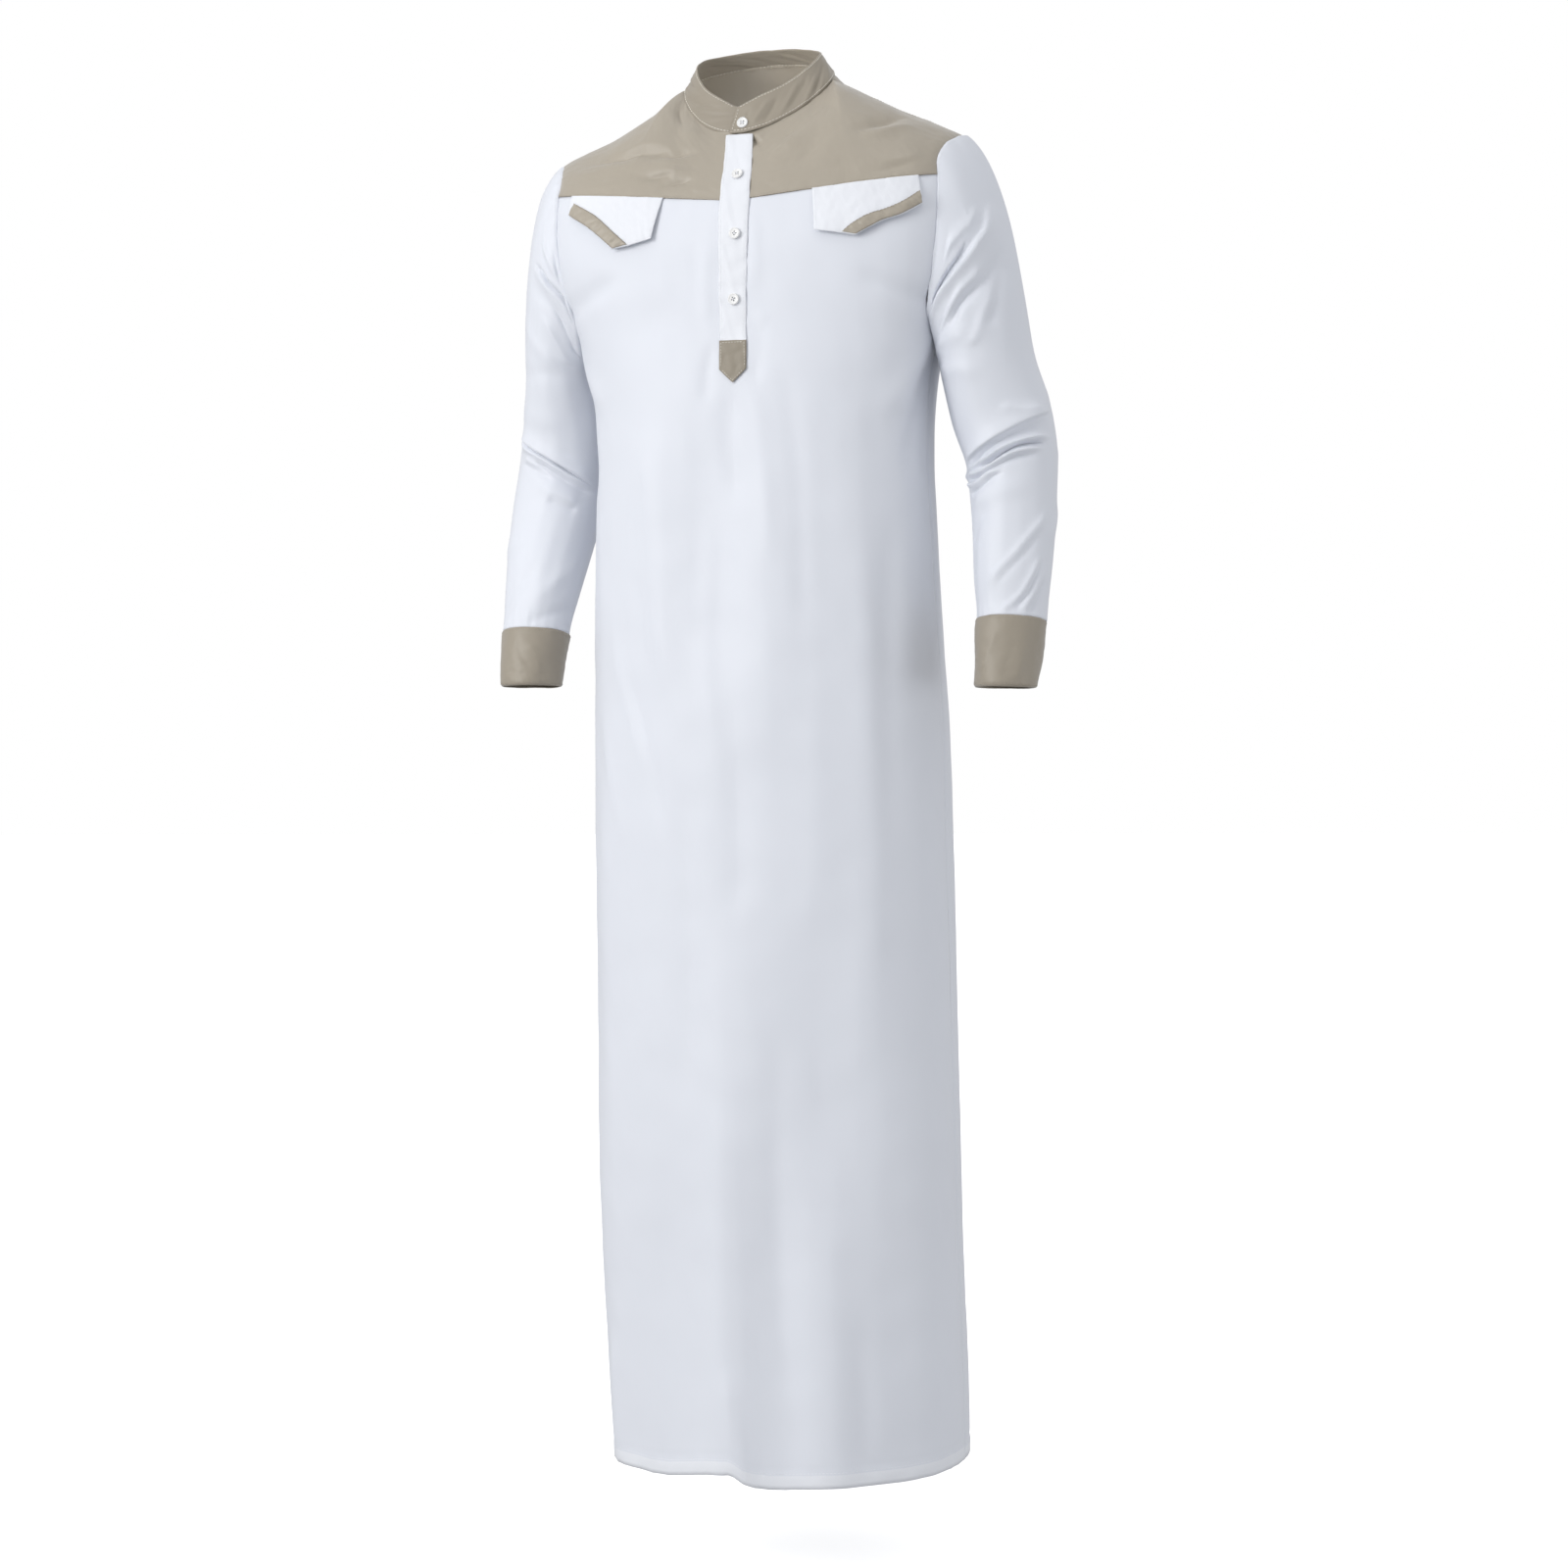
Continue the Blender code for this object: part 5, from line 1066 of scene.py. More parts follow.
# bent creases: width above, width below, rise, then its points (psi, v); a crease sharp on one side reads as a lip
SLEEVE_CREASES = {
    "left": {
        "armhole lip": (0.0022, 0.0120, 0.0052, (2.38, 0.207), (2.14, 0.287), (1.78, 0.384), (1.40, 0.430), (1.03, 0.452),
                        (0.71, 0.457), (0.52, 0.421), (0.31, 0.361)),
        "armhole trough": (0.0050, 0.0060, -0.0030, (2.36, 0.200), (2.05, 0.300), (1.60, 0.388), (1.16, 0.426), (0.84, 0.438)),
        "armhole slot": (0.0013, 0.0036, -0.0034, (2.34, 0.196), (2.00, 0.284), (1.47, 0.377), (0.98, 0.403)),
        "armhole ridge": (0.0080, 0.0050, 0.0024, (1.68, 0.234), (1.11, 0.334), (0.80, 0.374), (0.59, 0.344)),
        "upper ridge": (0.0070, 0.0090, 0.0024, (2.30, 0.600), (1.86, 0.554), (1.46, 0.541), (1.08, 0.560), (0.80, 0.560)),
        "upper trough": (0.0080, 0.0070, -0.0030, (2.05, 0.668), (1.58, 0.605), (1.15, 0.604), (0.69, 0.604), (0.34, 0.528)),
        "upper ridge 2": (0.0060, 0.0080, 0.0022, (1.50, 0.881), (1.25, 0.778), (0.95, 0.698), (0.71, 0.671)),
        "upper trough 2": (0.0070, 0.0080, -0.0020, (1.13, 0.821), (0.87, 0.741), (0.57, 0.658), (0.39, 0.581)),
        "elbow light": (0.0060, 0.0060, 0.0016, (1.30, 1.170), (0.84, 1.220), (0.35, 1.222)),
        "elbow shelf": (0.0120, 0.0013, 0.0040, (2.75, 1.355), (2.58, 1.347), (1.67, 1.297), (1.04, 1.267), (0.41, 1.247), (0.0, 1.236)),
        "elbow hollow": (0.0028, 0.0070, -0.0036, (2.70, 1.372), (2.30, 1.366), (1.55, 1.316), (0.96, 1.290), (0.27, 1.276)),
        "elbow lip 1": (0.0028, 0.0018, 0.0044, (2.75, 1.388), (2.54, 1.384), (1.94, 1.376), (1.47, 1.342), (0.95, 1.326),
                        (0.22, 1.330)),
        "elbow slot": (0.0014, 0.0016, -0.0052, (2.20, 1.400), (2.00, 1.396), (1.72, 1.383), (1.41, 1.360), (1.07, 1.344), (0.38, 1.344)),
        "elbow lip 2": (0.0018, 0.0028, 0.0038, (2.85, 1.412), (2.54, 1.412), (2.02, 1.418), (1.54, 1.390), (1.14, 1.366),
                        (0.48, 1.366)),
        "elbow trough 2": (0.0020, 0.0034, -0.0034, (2.90, 1.418), (2.60, 1.430), (2.12, 1.434), (1.61, 1.406), (1.21, 1.384), (0.63, 1.384)),
        "elbow lip 3": (0.0018, 0.0040, 0.0034, (2.90, 1.436), (2.50, 1.456), (2.24, 1.456), (1.90, 1.436), (1.50, 1.422)),
        "elbow trough 3": (0.0020, 0.0040, -0.0030, (2.70, 1.492), (2.43, 1.489), (2.05, 1.474), (1.77, 1.450), (1.47, 1.440)),
        "forearm ridge 1": (0.0036, 0.0070, 0.0022, (2.09, 1.883), (1.39, 1.780), (0.97, 1.696), (0.63, 1.626), (0.40, 1.560)),
        "forearm trough 1": (0.0050, 0.0040, -0.0016, (1.80, 1.880), (1.20, 1.790), (0.85, 1.720), (0.52, 1.650)),
        "forearm ridge 2": (0.0034, 0.0060, 0.0024, (1.77, 1.995), (1.17, 1.927), (0.84, 1.853), (0.52, 1.746)),
        "forearm trough 2": (0.0040, 0.0040, -0.0018, (1.35, 1.980), (0.95, 1.920), (0.66, 1.840), (0.42, 1.760)),
        "forearm ridge 3": (0.0034, 0.0060, 0.0022, (1.15, 1.995), (0.74, 1.913), (0.46, 1.806)),
        "forearm trough 3": (0.0040, 0.0040, -0.0016, (0.85, 1.990), (0.52, 1.915), (0.25, 1.840)),
    },
    "right": {
        "armhole slot": (0.0016, 0.0040, -0.0034, (0.95, 0.420), (1.40, 0.344), (1.68, 0.297), (2.02, 0.164), (2.20, 0.040)),
        "armhole lip": (0.0024, 0.0080, 0.0026, (0.95, 0.450), (1.30, 0.384), (1.62, 0.337), (2.00, 0.207), (2.26, 0.060)),
        "armhole roll": (0.0080, 0.0050, 0.0022, (1.05, 0.250), (1.50, 0.200), (1.85, 0.080)),
        "upper ridge": (0.0080, 0.0100, 0.0014, (1.56, 0.528), (1.93, 0.631), (2.26, 0.775)),
        "upper trough": (0.0080, 0.0080, -0.0014, (1.73, 0.397), (2.18, 0.434), (2.48, 0.594)),
        "elbow shelf": (0.0130, 0.0012, 0.0046, (0.35, 1.195), (0.72, 1.215), (1.30, 1.262), (1.77, 1.317), (2.10, 1.350), (2.42, 1.372),
                        (2.75, 1.392)),
        "elbow slot": (0.0013, 0.0014, -0.0040, (0.55, 1.208), (0.80, 1.222), (1.30, 1.267), (1.77, 1.322), (2.12, 1.356), (2.50, 1.380)),
        "elbow lip": (0.0020, 0.0050, 0.0030, (0.30, 1.215), (0.60, 1.226), (1.30, 1.282), (1.72, 1.334), (2.18, 1.376), (2.77, 1.406)),
        "elbow hollow": (0.0036, 0.0070, -0.0040, (1.10, 1.306), (1.54, 1.352), (1.93, 1.388), (2.27, 1.408), (2.79, 1.424)),
        "elbow ridge 2": (0.0040, 0.0030, 0.0015, (0.80, 1.290), (0.90, 1.300), (1.31, 1.342), (1.70, 1.382)),
        "elbow trough 2": (0.0034, 0.0050, -0.0013, (0.70, 1.322), (0.90, 1.336), (1.40, 1.379), (1.72, 1.410)),
        "elbow ridge 3": (0.0080, 0.0080, 0.0018, (1.30, 1.420), (1.80, 1.452), (2.40, 1.478)),
        "elbow trough 3": (0.0050, 0.0050, -0.0018, (1.60, 1.475), (1.90, 1.494), (2.40, 1.514)),
    },
}


def crease_rise(q, upper, lower, depth, points, taper=0.22):
    """Rise along a bent line of points: it falls off over upper on one side of the line and over lower on the other."""
    p = np.asarray(points, float)
    fine = np.linspace(0, len(p) - 1, 6 * (len(p) - 1) + 1)
    p = np.stack([curve(np.arange(len(p)), p[:, k])(fine) for k in (0, 1)], -1) if len(p) > 2 else p
    seg = np.linalg.norm(np.diff(p, axis=0), axis=1)
    run = np.concatenate([[0], np.cumsum(seg)])
    best = np.full(q.shape[:-1], 1e9)
    side, at = np.zeros_like(best), np.zeros_like(best)
    for k in range(len(p) - 1):
        ab = p[k + 1] - p[k]
        if seg[k] < 1e-9:
            continue
        w = ((q - p[k]) @ ab) / seg[k] ** 2
        c = np.clip(w, 0, 1)
        gap = q - p[k] - c[..., None] * ab
        d = np.hypot(gap[..., 0], gap[..., 1])
        sign = (ab[0] * gap[..., 1] - ab[1] * gap[..., 0]) / seg[k]
        closer = d < best
        best = np.where(closer, d, best)
        side = np.where(closer, sign, side)
        at = np.where(closer, (run[k] + c * seg[k]) / run[-1], at)
    turn = -1 if p[-1, 0] < p[0, 0] else 1               # above is always towards the shoulder
    above = side * turn < 0
    width = np.where(above, upper, lower)
    grow = smooth(at / taper) * smooth((1 - at) / taper)
    return depth * grow * np.exp(-np.abs(best / width) ** 1.5)


def sleeve_lines(side, psi, v):
    rise = np.zeros(np.broadcast(psi, v).shape)
    rows = [(a * GIRTH, b * RUN, c * GIRTH, d * RUN, w, h) for a, b, c, d, w, h in SLEEVE_LINES[side]]
    for turn in (-1, 0, 1):
        q = np.stack(np.broadcast_arrays((psi + turn * 2 * math.pi) * GIRTH, v * RUN), -1)
        rise += line_rise(q, rows, bend=0.07)
    half = np.where(psi > 4.2, psi - 2 * math.pi, psi)
    q = np.stack(np.broadcast_arrays(half * GIRTH, v * RUN), -1)
    for upper, lower, depth, *points in SLEEVE_CREASES[side].values():
        rise += 1.25 * crease_rise(q, upper, lower, depth, [(a * GIRTH, b * RUN) for a, b in points])
    return rise


def sleeve_fine(side, v, columns):
    psi = np.linspace(0, 2 * math.pi, columns, endpoint=False)[None, :]
    vv = np.asarray(v, float)[:, None]
    g = sleeve(side, psi, vv)
    ease = (smooth((vv - 0.45) / 0.3) * smooth((1.75 - vv) / 0.3))[..., None]      # rounds off the sections' small bends
    for _ in range(40):
        mid = (np.roll(g, 1, 0) + 2 * g + np.roll(g, -1, 0)) / 4
        step = np.diff(v)
        mid[1:-1] = (g[:-2] * step[1:, None, None] + g[2:] * step[:-1, None, None]) / (step[1:] + step[:-1])[:, None, None] * 0.5 + g[1:-1] * 0.5
        g = g * (1 - ease) + mid * ease
    rise = sleeve_lines(side, psi, np.minimum(vv, 2.0))
    around, seed = psi * GIRTH, (51 if side == "left" else 52)
    ring = lambda wl, sd: periodic(psi, vv, wl, sd)
    rise = rise + 0.00050 * ring(3.0, seed) + 0.00020 * ring(9.0, seed + 3)
    fade = smooth(vv / 0.05)
    rise = rise * (0.15 + 0.85 * fade)
    top = np.exp(-(np.minimum(psi, 2 * math.pi - psi) / 1.25) ** 2)
    gather = 0.00075 * (0.6 + 0.4 * periodic(psi, vv * 0, 2.0, seed + 7)) * (
        0.5 + 0.5 * np.sin(psi * 31 + 0.9 * np.sin(psi * 5 + seed)))
    rise = rise + gather * top * np.exp(-(vv / 0.10) ** 2) * smooth(vv / 0.01)
    rise = rise + 0.00050 * (0.5 + 0.5 * periodic(psi, vv * 0, 14.0, seed + 8)) * np.exp(-(vv / 0.05) ** 2)
    wrist = np.clip(2.0 - vv, 0, 1)
    pleat = 0.00040 * (0.5 + 0.5 * np.sin(psi * 23 + 1.3 * np.sin(psi * 3 + seed)))
    rise = rise + pleat * np.exp(-(wrist / 0.07) ** 2) * (vv <= 2.0)
    g = away(g, rise, closed=True)
    out = np.stack([np.full_like(psi[0], 0.75), -0.6 * np.sin(psi[0]), 0.9 * np.maximum(np.cos(psi[0]), 0)], -1)
    out /= np.linalg.norm(out, axis=-1, keepdims=True)
    keep = np.clip(1 - vv[:, :, None] / 0.35, 0, 1)
    g = g + out[None] * 0.0009 * keep
    if side == "right":
        g = g * np.array([-1, 1, 1])
    return g


def periodic(psi, v, around, seed, rows=18):
    """Low random waviness that closes round a sleeve; around is the usual number of waves."""
    rng = np.random.default_rng(seed)
    out = np.zeros(np.broadcast(psi, v).shape)
    for _ in range(rows):
        n = max(1, int(round(around * rng.uniform(0.4, 1.8))))
        out += np.sin(n * psi + v * rng.uniform(-1.6, 1.6) * around + rng.uniform(0, 6.28))
    return out / math.sqrt(rows)


CUFF_CREASES = {      # width above, width below, rise, then points (metres round from the outer side, metres down)
    "left": {
        "diagonal": (0.0050, 0.0034, 0.0007, (0.060, 0.012), (0.068, 0.030), (0.078, 0.052)),
        "diagonal 2": (0.0050, 0.0050, -0.0007, (0.040, 0.020), (0.046, 0.040), (0.050, 0.058)),
        "low": (0.0040, 0.0040, 0.0005, (0.030, 0.034), (0.034, 0.050), (0.036, 0.062)),
    },
    "right": {
        "diagonal": (0.0050, 0.0034, -0.0007, (0.050, 0.010), (0.056, 0.030), (0.070, 0.050)),
        "diagonal 2": (0.0046, 0.0050, 0.0006, (0.064, 0.014), (0.074, 0.034), (0.082, 0.056)),
        "low": (0.0030, 0.0040, -0.0005, (0.040, 0.048), (0.052, 0.052), (0.064, 0.054)),
    },
}


def make_sleeves():
    for side in ("left", "right"):
        v = np.concatenate([np.linspace(0, 0.62, 62)[:-1] ** 1.0, np.linspace(0.62, 1.14, 30)[:-1],
                            np.linspace(1.14, 1.56, 96)[:-1], np.linspace(1.56, 2, 50)])
        g = sleeve_fine(side, v, 158)
        g = np.roll(g, 79, 1)                       # the weave's seam runs down the underside
        outward = 1 if side == "left" else -1
        back = g[0] - g[3]
        back /= np.linalg.norm(back, axis=-1, keepdims=True)
        n0 = normals(g, True)[2] * outward          # rows that run in under the panels and yokes and close the seam
        tuck = np.array([g[0] + back * 0.0048 - n0 * 0.0021, g[0] + back * 0.0020 - n0 * 0.0014])
        ob = shell("sleeve_" + side + "_cloth", np.concatenate([tuck, g]), CLOTH_SHOWN, WHITE, outward, closed=True)
        carry(ob, ("sleeve_" + side,))
        p, o = along(g, row=0, inset=0.0024, outward=outward, lift=CLOTH_SHOWN / 2, closed=True)
        p, o = np.concatenate([p, p[:1]]), np.concatenate([o, o[:1]])
        stitch_row(p, o, "white", 0.0026, 0.0010, 0.00018)
        v = np.linspace(1.992, 3.0, 44)
        c = sleeve(side, np.linspace(0, 2 * math.pi, 132, endpoint=False)[None, :], np.maximum(v, 2.0)[:, None])
        c = c * np.array([1, 1, 1])
        psi = np.linspace(0, 2 * math.pi, 132, endpoint=False)[None, :]
        wave = 0.00075 * periodic(psi, v[:, None] * 1.4, 3.0, 61 if side == "left" else 62)
        wave = wave + 0.00014 * periodic(psi, v[:, None] * 3, 8.0, 63)
        q = np.stack(np.broadcast_arrays(psi * 0.036, (v[:, None] - 2.0) * 0.065), -1)
        for upper, lower, depth, *points in CUFF_CREASES[side].values():
            wave = wave + crease_rise(q, upper, lower, depth, points)
        edge = np.exp(-((v[:, None] - 2.0) / 0.10) ** 2) + np.exp(-((3.0 - v[:, None]) / 0.10) ** 2)
        wave = wave + 0.00010 * periodic(psi, v[:, None] * 0, 20.0, 64) * edge
        wave = wave - 0.0014 * smooth((v[:, None] - 2.94) / 0.06) ** 2
        c = away(c, wave + 0.0004 - 0.0005 * smooth((v[:, None] - 2.0) / 0.5), closed=True)
        c[0] = c[1] + np.array([0, 0, 0.0014])
        if side == "right":
            c = c * np.array([-1, 1, 1])
        c = np.roll(c, 66, 1)
        # the cuff takes the darker copy of the tan cloth: painted shade
        ob = shell("cuff_" + side + "_cloth", c, BAND, TAN_PAINTED_SHADE, outward, closed=True)
        carry(ob, ("cuff_" + side,))
        for row, inset in ((0, 0.0024), (-1, 0.0030)):
            p, o = along(c, row=row, inset=inset, outward=outward, lift=BAND / 2, closed=True)
            p, o = np.concatenate([p, p[:1]]), np.concatenate([o, o[:1]])
            stitch_row(p, o, "tan", 0.0024, 0.0009, 0.00019)


# ------------------------------------------------------------------ collar
COLLAR_FROM, COLLAR_TO, COLLAR_SLANT = -0.10, -0.085, 0.085      # angles of its two ends; the far one laps over the near one
COLLAR_LAP = 0.0024


def collar_grid(columns=44, rows=4, base=0.0022):
    v = np.linspace(0, 1, rows)[:, None]
    a = np.linspace(COLLAR_TO, 2 * math.pi - COLLAR_FROM, columns)[None]      # on +X the angle is positive
    a = a + COLLAR_SLANT * v * np.exp(-(a - COLLAR_TO) / 0.15)                 # the lapping end is cut on a slant
    low, top = neck(a), collar_top(a)
    rise = top - low
    v = v[..., None]
    g = low * (1 - v) + top * v + rise / np.linalg.norm(rise, axis=-1, keepdims=True) * base * (1 - v)
    lap = COLLAR_LAP * (1 - smooth((a - 0.10) / 0.55))               # the end on the wearer's left lies outside
    tuck = -0.0003 * smooth((a - 5.7) / 0.5)
    out = np.stack([np.sin(a) / NECK_W, -np.cos(a) / NECK_F, np.zeros_like(a)], -1)
    out /= np.linalg.norm(out, axis=-1, keepdims=True)
    return g + out * (lap + tuck)[..., None]


COLLAR_LINES = (   # metres along the band from the lapping end, metres up from the neck seam; width, rise
    (0.0100, 0.004, 0.0160, 0.024, 0.0022, -0.0005), (0.022, 0.006, 0.034, 0.026, 0.0030, 0.0008),
    (0.034, 0.004, 0.044, 0.024, 0.0034, -0.0009), (0.050, 0.004, 0.066, 0.026, 0.0036, 0.0007),
    (0.060, 0.006, 0.080, 0.022, 0.0044, -0.0008), (0.078, 0.003, 0.094, 0.018, 0.0036, 0.0008),
    (0.092, 0.004, 0.108, 0.020, 0.0036, -0.0008), (0.112, 0.004, 0.128, 0.020, 0.0045, 0.0006),
    (0.180, 0.002, 0.200, 0.018, 0.0060, -0.0008), (0.260, 0.004, 0.285, 0.016, 0.0060, 0.0008),
    (0.330, 0.003, 0.340, 0.022, 0.0040, -0.0008), (0.352, 0.004, 0.362, 0.022, 0.0036, 0.0007),
    (0.372, 0.004, 0.384, 0.024, 0.0034, -0.0009), (0.392, 0.006, 0.398, 0.022, 0.0030, 0.0007),
    (0.404, 0.004, 0.412, 0.024, 0.0026, -0.0007),
)


def make_collar():
    g = collar_grid(columns=330, rows=24, base=0.0007)
    outward = 1 if normals(g)[12, 20][1] < 0 else -1
    along_m, up_m = run_lengths(g, 1), run_lengths(g, 0)[::-1] * 0 + run_lengths(g, 0)
    q = np.stack([along_m, up_m], -1)
    rise = 1.25 * line_rise(q, COLLAR_LINES, bend=0.05) + 0.00022 * crumple(along_m, up_m, 71, 0.018)
    rise = rise + 0.00014 * crumple(along_m, up_m * 0, 72, 0.009) * np.exp(-(up_m / 0.004) ** 2)
    rise = rise + 0.0008 * np.exp(-(up_m / 0.010) ** 2)         # the band flares a little over the neck seam
    g = g + normals(g) * outward * rise[..., None]
    # the collar takes the darker copy of the tan cloth: painted shade
    ob = shell("collar_cloth", g, BAND, TAN_PAINTED_SHADE, outward)
    carry(ob, ("collar",))
    p, o = along(g, row=0, inset=0.0026, outward=outward, lift=BAND / 2)
    stitch_row(p[2:-8], o[2:-8], "cream", 0.0030, 0.0007, 0.00034)
    p, o = along(g, row=-1, inset=0.0020, outward=outward, lift=BAND / 2)
    stitch_row(p[3:-8], o[3:-8], "cream", 0.0024, 0.0010, 0.00032)
    p, o = along(g, col=0, inset=0.0022, outward=outward, lift=BAND / 2)
    stitch_row(p[2:-2], o[2:-2], "cream", 0.0024, 0.0010, 0.00030)
    p, o = along(g, row=0, inset=0.0012, outward=-outward, lift=BAND / 2 + 0.0002)
    stitch_row(p[60:-60], o[60:-60], "tan", 0.0040, 0.0004, 0.00050)
    p, o = along(g, row=0, inset=0.0032, outward=-outward, lift=BAND / 2)
    stitch_row(p[60:-60], o[60:-60], "cream", 0.0030, 0.0009, 0.00022)
    a = np.linspace(COLLAR_TO, 2 * math.pi - COLLAR_FROM, 330)
    j = int(np.argmin(np.abs(a + 0.052)))
    out = normals(g) * outward
    for row in (11, 12):                            # the buttonhole's end, past the button
        line = g[row, j + 4:j + 9] + out[row, j + 4:j + 9] * (BAND / 2)
        stitch_row(line, out[row, j + 4:j + 9], "white", 0.0016, 0.0001, 0.00034)
    return g, outward, j


# ------------------------------------------------------------------ placket
def front_row(x, z):
    """Points of the front at the places x near the centre and the one height z, on the yokes or the panel below."""
    x = np.asarray(x, float)
    if z <= YOKE_Z:
        return cloth(x / float(ARC["front"](z)), np.full_like(x, z))
    cols = np.array([[np.interp(-z, -p[:, 2], p[:, k]) for k in (0, 1)] for p in YOKE_COLUMNS])
    order = np.argsort(cols[:, 0])
    return np.stack([x, np.interp(np.abs(x), cols[order, 0], cols[order, 1]), np.full_like(x, z)], -1)


YOKE_COLUMNS = [yoke(np.full(60, s), np.linspace(0, 1, 60)) for s in np.linspace(0.0, 0.16, 49)]


def placket_out(z):
    """How far the placket's middle lies out from the front: over the yokes' edge, then close on the panel."""
    return 0.0024 - 0.0006 * smooth((YOKE_Z - 0.002 - z) / 0.010)


PLACKET_TOP = float(neck(0.0)[2]) - 0.0028


PLACKET_TAPER = curve((-0.300, -0.270, -0.200, -0.130, -0.060), (0.90, 0.91, 0.97, 1.02, 0.91))


def placket_grid(width, zs, out, x0=PLACKET_X, cols=5):
    g = np.array([front_row(x0 + np.linspace(-width / 2, width / 2, cols) * float(PLACKET_TAPER(z)), z) for z in zs])
    for _ in range(2):
        if len(zs) > 12:
            g[1:-1, :, 1] = (g[:-2, :, 1] + 2 * g[1:-1, :, 1] + g[2:, :, 1]) / 4
    return away(g, -(out if np.isscalar(out) else np.asarray(out)[:, None]))


def make_placket():
    zs = np.linspace(PLACKET_TOP + 0.0016, PLACKET_END - 0.0012, 190)
    g = placket_grid(PLACKET_W, zs, placket_out(zs), cols=33)
    down, across = run_lengths(g, 0), run_lengths(g, 1)
    side = np.minimum(across, across[:, -1:] - across)
    rise = 0.00030 * crumple(across, down, 81, 0.024) + 0.00030 * crumple(down, across * 0, 82, 0.011) * np.exp(-(side / 0.005) ** 2)
    rise = rise - 0.00026 * np.exp(-((side - 0.0026) / 0.0008) ** 2) - 0.0005 * (1 - smooth(side / 0.0024))
    rise = rise + 0.00035 * np.exp(-(((across - 0.004) - (down % 0.0605) * 0.25) / 0.0030) ** 2)
    outward = -1
    outward = 1 if normals(g)[90, 16][1] < 0 else -1
    g = g + normals(g) * outward * rise[..., None]
    sway = 0.0003 * np.sin(down[:, :1] * 62) + 0.0002 * np.sin(down[:, :1] * 171 + 1)
    g[..., 0] += sway
    ob = shell("placket_cloth", g, 0.0014, WHITE2, outward)
    carry(ob, ("placket",))
    for col in (0, -1):
        p, o = along(g, col=col, inset=0.0026, outward=outward, lift=0.0007)
        stitch_row(p, o, "white", 0.0024, 0.0009, 0.00018)
    u = placket_grid(PLACKET_W - 0.006, np.linspace(PLACKET_TOP - 0.003, SLIT_END - 0.006, 60), -0.0022, cols=9)
    ob = shell("placket_under_cloth", u, 0.0012, WHITE2, 1 if normals(u)[30, 4][1] < 0 else -1)
    carry(ob, ("placket_under",))
    # the pointed tab
    k = np.linspace(0, 1, 46)[:, None]
    c = np.linspace(-1, 1, 33)[None, :]
    z = (PLACKET_END + 0.0006) * (1 - k) + (TAB_END + (TAB_SHOULDER - TAB_END) * np.abs(c) ** 1.02) * k
    rows = cloth((PLACKET_X + c * (PLACKET_W + 0.0008) / 2 * PLACKET_TAPER(z)) / ARC["front"](z), z)
    t = np.array(rows)
    n = np.array([0, -1.0, 0.03])
    across, down = run_lengths(t, 1), run_lengths(t, 0)
    puff = 0.00020 * crumple(across, down, 84, 0.012)
    t = t + n * (0.0024 + puff)[..., None]
    outward = 1 if normals(t)[20, 16][1] < 0 else -1
    # the tab takes the darkest copy of the tan cloth: painted shade
    ob = shell("placket_tab_cloth", t, 0.0014, TAN_PAINTED_DEEP_SHADE, outward)
    carry(ob, ("placket_tab",))
    for kw in (dict(col=0), dict(col=-1), dict(row=0), dict(row=-1)):
        p, o = along(t, inset=0.0022, outward=outward, lift=0.0007, **kw)
        cut = 3 if "row" in kw else 2
        stitch_row(p[cut:-cut], o[cut:-cut], "cream", 0.0022, 0.0008, 0.00022)
    return g


# ------------------------------------------------------------------ pocket flaps and their trims
FLAP = {   # lower edge: share of the width, arc share on the front, height; "corner" is the row of the flap's point
    "right": {"top": (-0.276, -0.688), "corner": 2, "low": (
        (0.00, -0.303, -0.1677), (0.25, -0.394, -0.1738), (0.42, -0.457, -0.1761), (0.52, -0.490, -0.1675),
        (0.70, -0.558, -0.1535), (1.00, -0.678, -0.1361))},
    "left": {"top": (0.311, 0.715), "corner": 2, "low": (
        (0.00, 0.324, -0.1677), (0.24, 0.420, -0.1720), (0.39, 0.477, -0.1748), (0.52, 0.521, -0.1684),
        (0.64, 0.570, -0.1615), (0.80, 0.637, -0.1556), (1.00, 0.713, -0.1443))},
}
TRIM_COLS = ("upper_t", "upper_z", "lower_t", "lower_z")      # trim edges from the flap's point outwards
TRIM = {
    "right": ((-0.394, -0.1722, -0.453, -0.1754), (-0.447, -0.1600, -0.486, -0.1674), (-0.531, -0.1418, -0.553, -0.1534),
              (-0.660, -0.1239, -0.670, -0.1361)),
    "left": ((0.427, -0.1711, 0.478, -0.1738), (0.466, -0.1630, 0.522, -0.1675), (0.525, -0.1543, 0.570, -0.1604),
             (0.580, -0.1493, 0.603, -0.1578), (0.639, -0.1429, 0.636, -0.1546), (0.709, -0.1307, 0.711, -0.1435)),
}


def flap_top(t):
    """Height of a flap's sewn edge, just under the yoke seam."""
    return seam_z(np.abs(t) / 0.79) - 0.0008


def flap_surface(side, t, z, out=0.0):
    """Point on a flap: the front moved out, more towards the free edge, with the flap's own soft waves."""
    seed = 91 if side == "right" else 92
    n = section_normal(t, z) + np.array([0, 0, 0.12])
    n /= np.linalg.norm(n, axis=-1, keepdims=True)
    drop = flap_top(t) - z
    u = t * ARC["front"](z)
    stand = 0.0019 + FLAP_STANDOFF * smooth(drop / 0.05)
    stand = stand + 0.0009 * crumple(u, z * 0.6, seed, 0.060) * smooth(drop / 0.03) + 0.00016 * crumple(u, z, seed + 1, 0.011)
    stand = stand + 0.00050 * (0.5 + 0.5 * crumple(u, z * 0, seed + 2, 0.012)) * np.exp(-(drop / 0.010) ** 2)
    return cloth(t, z) + n * (stand + out)[..., None]


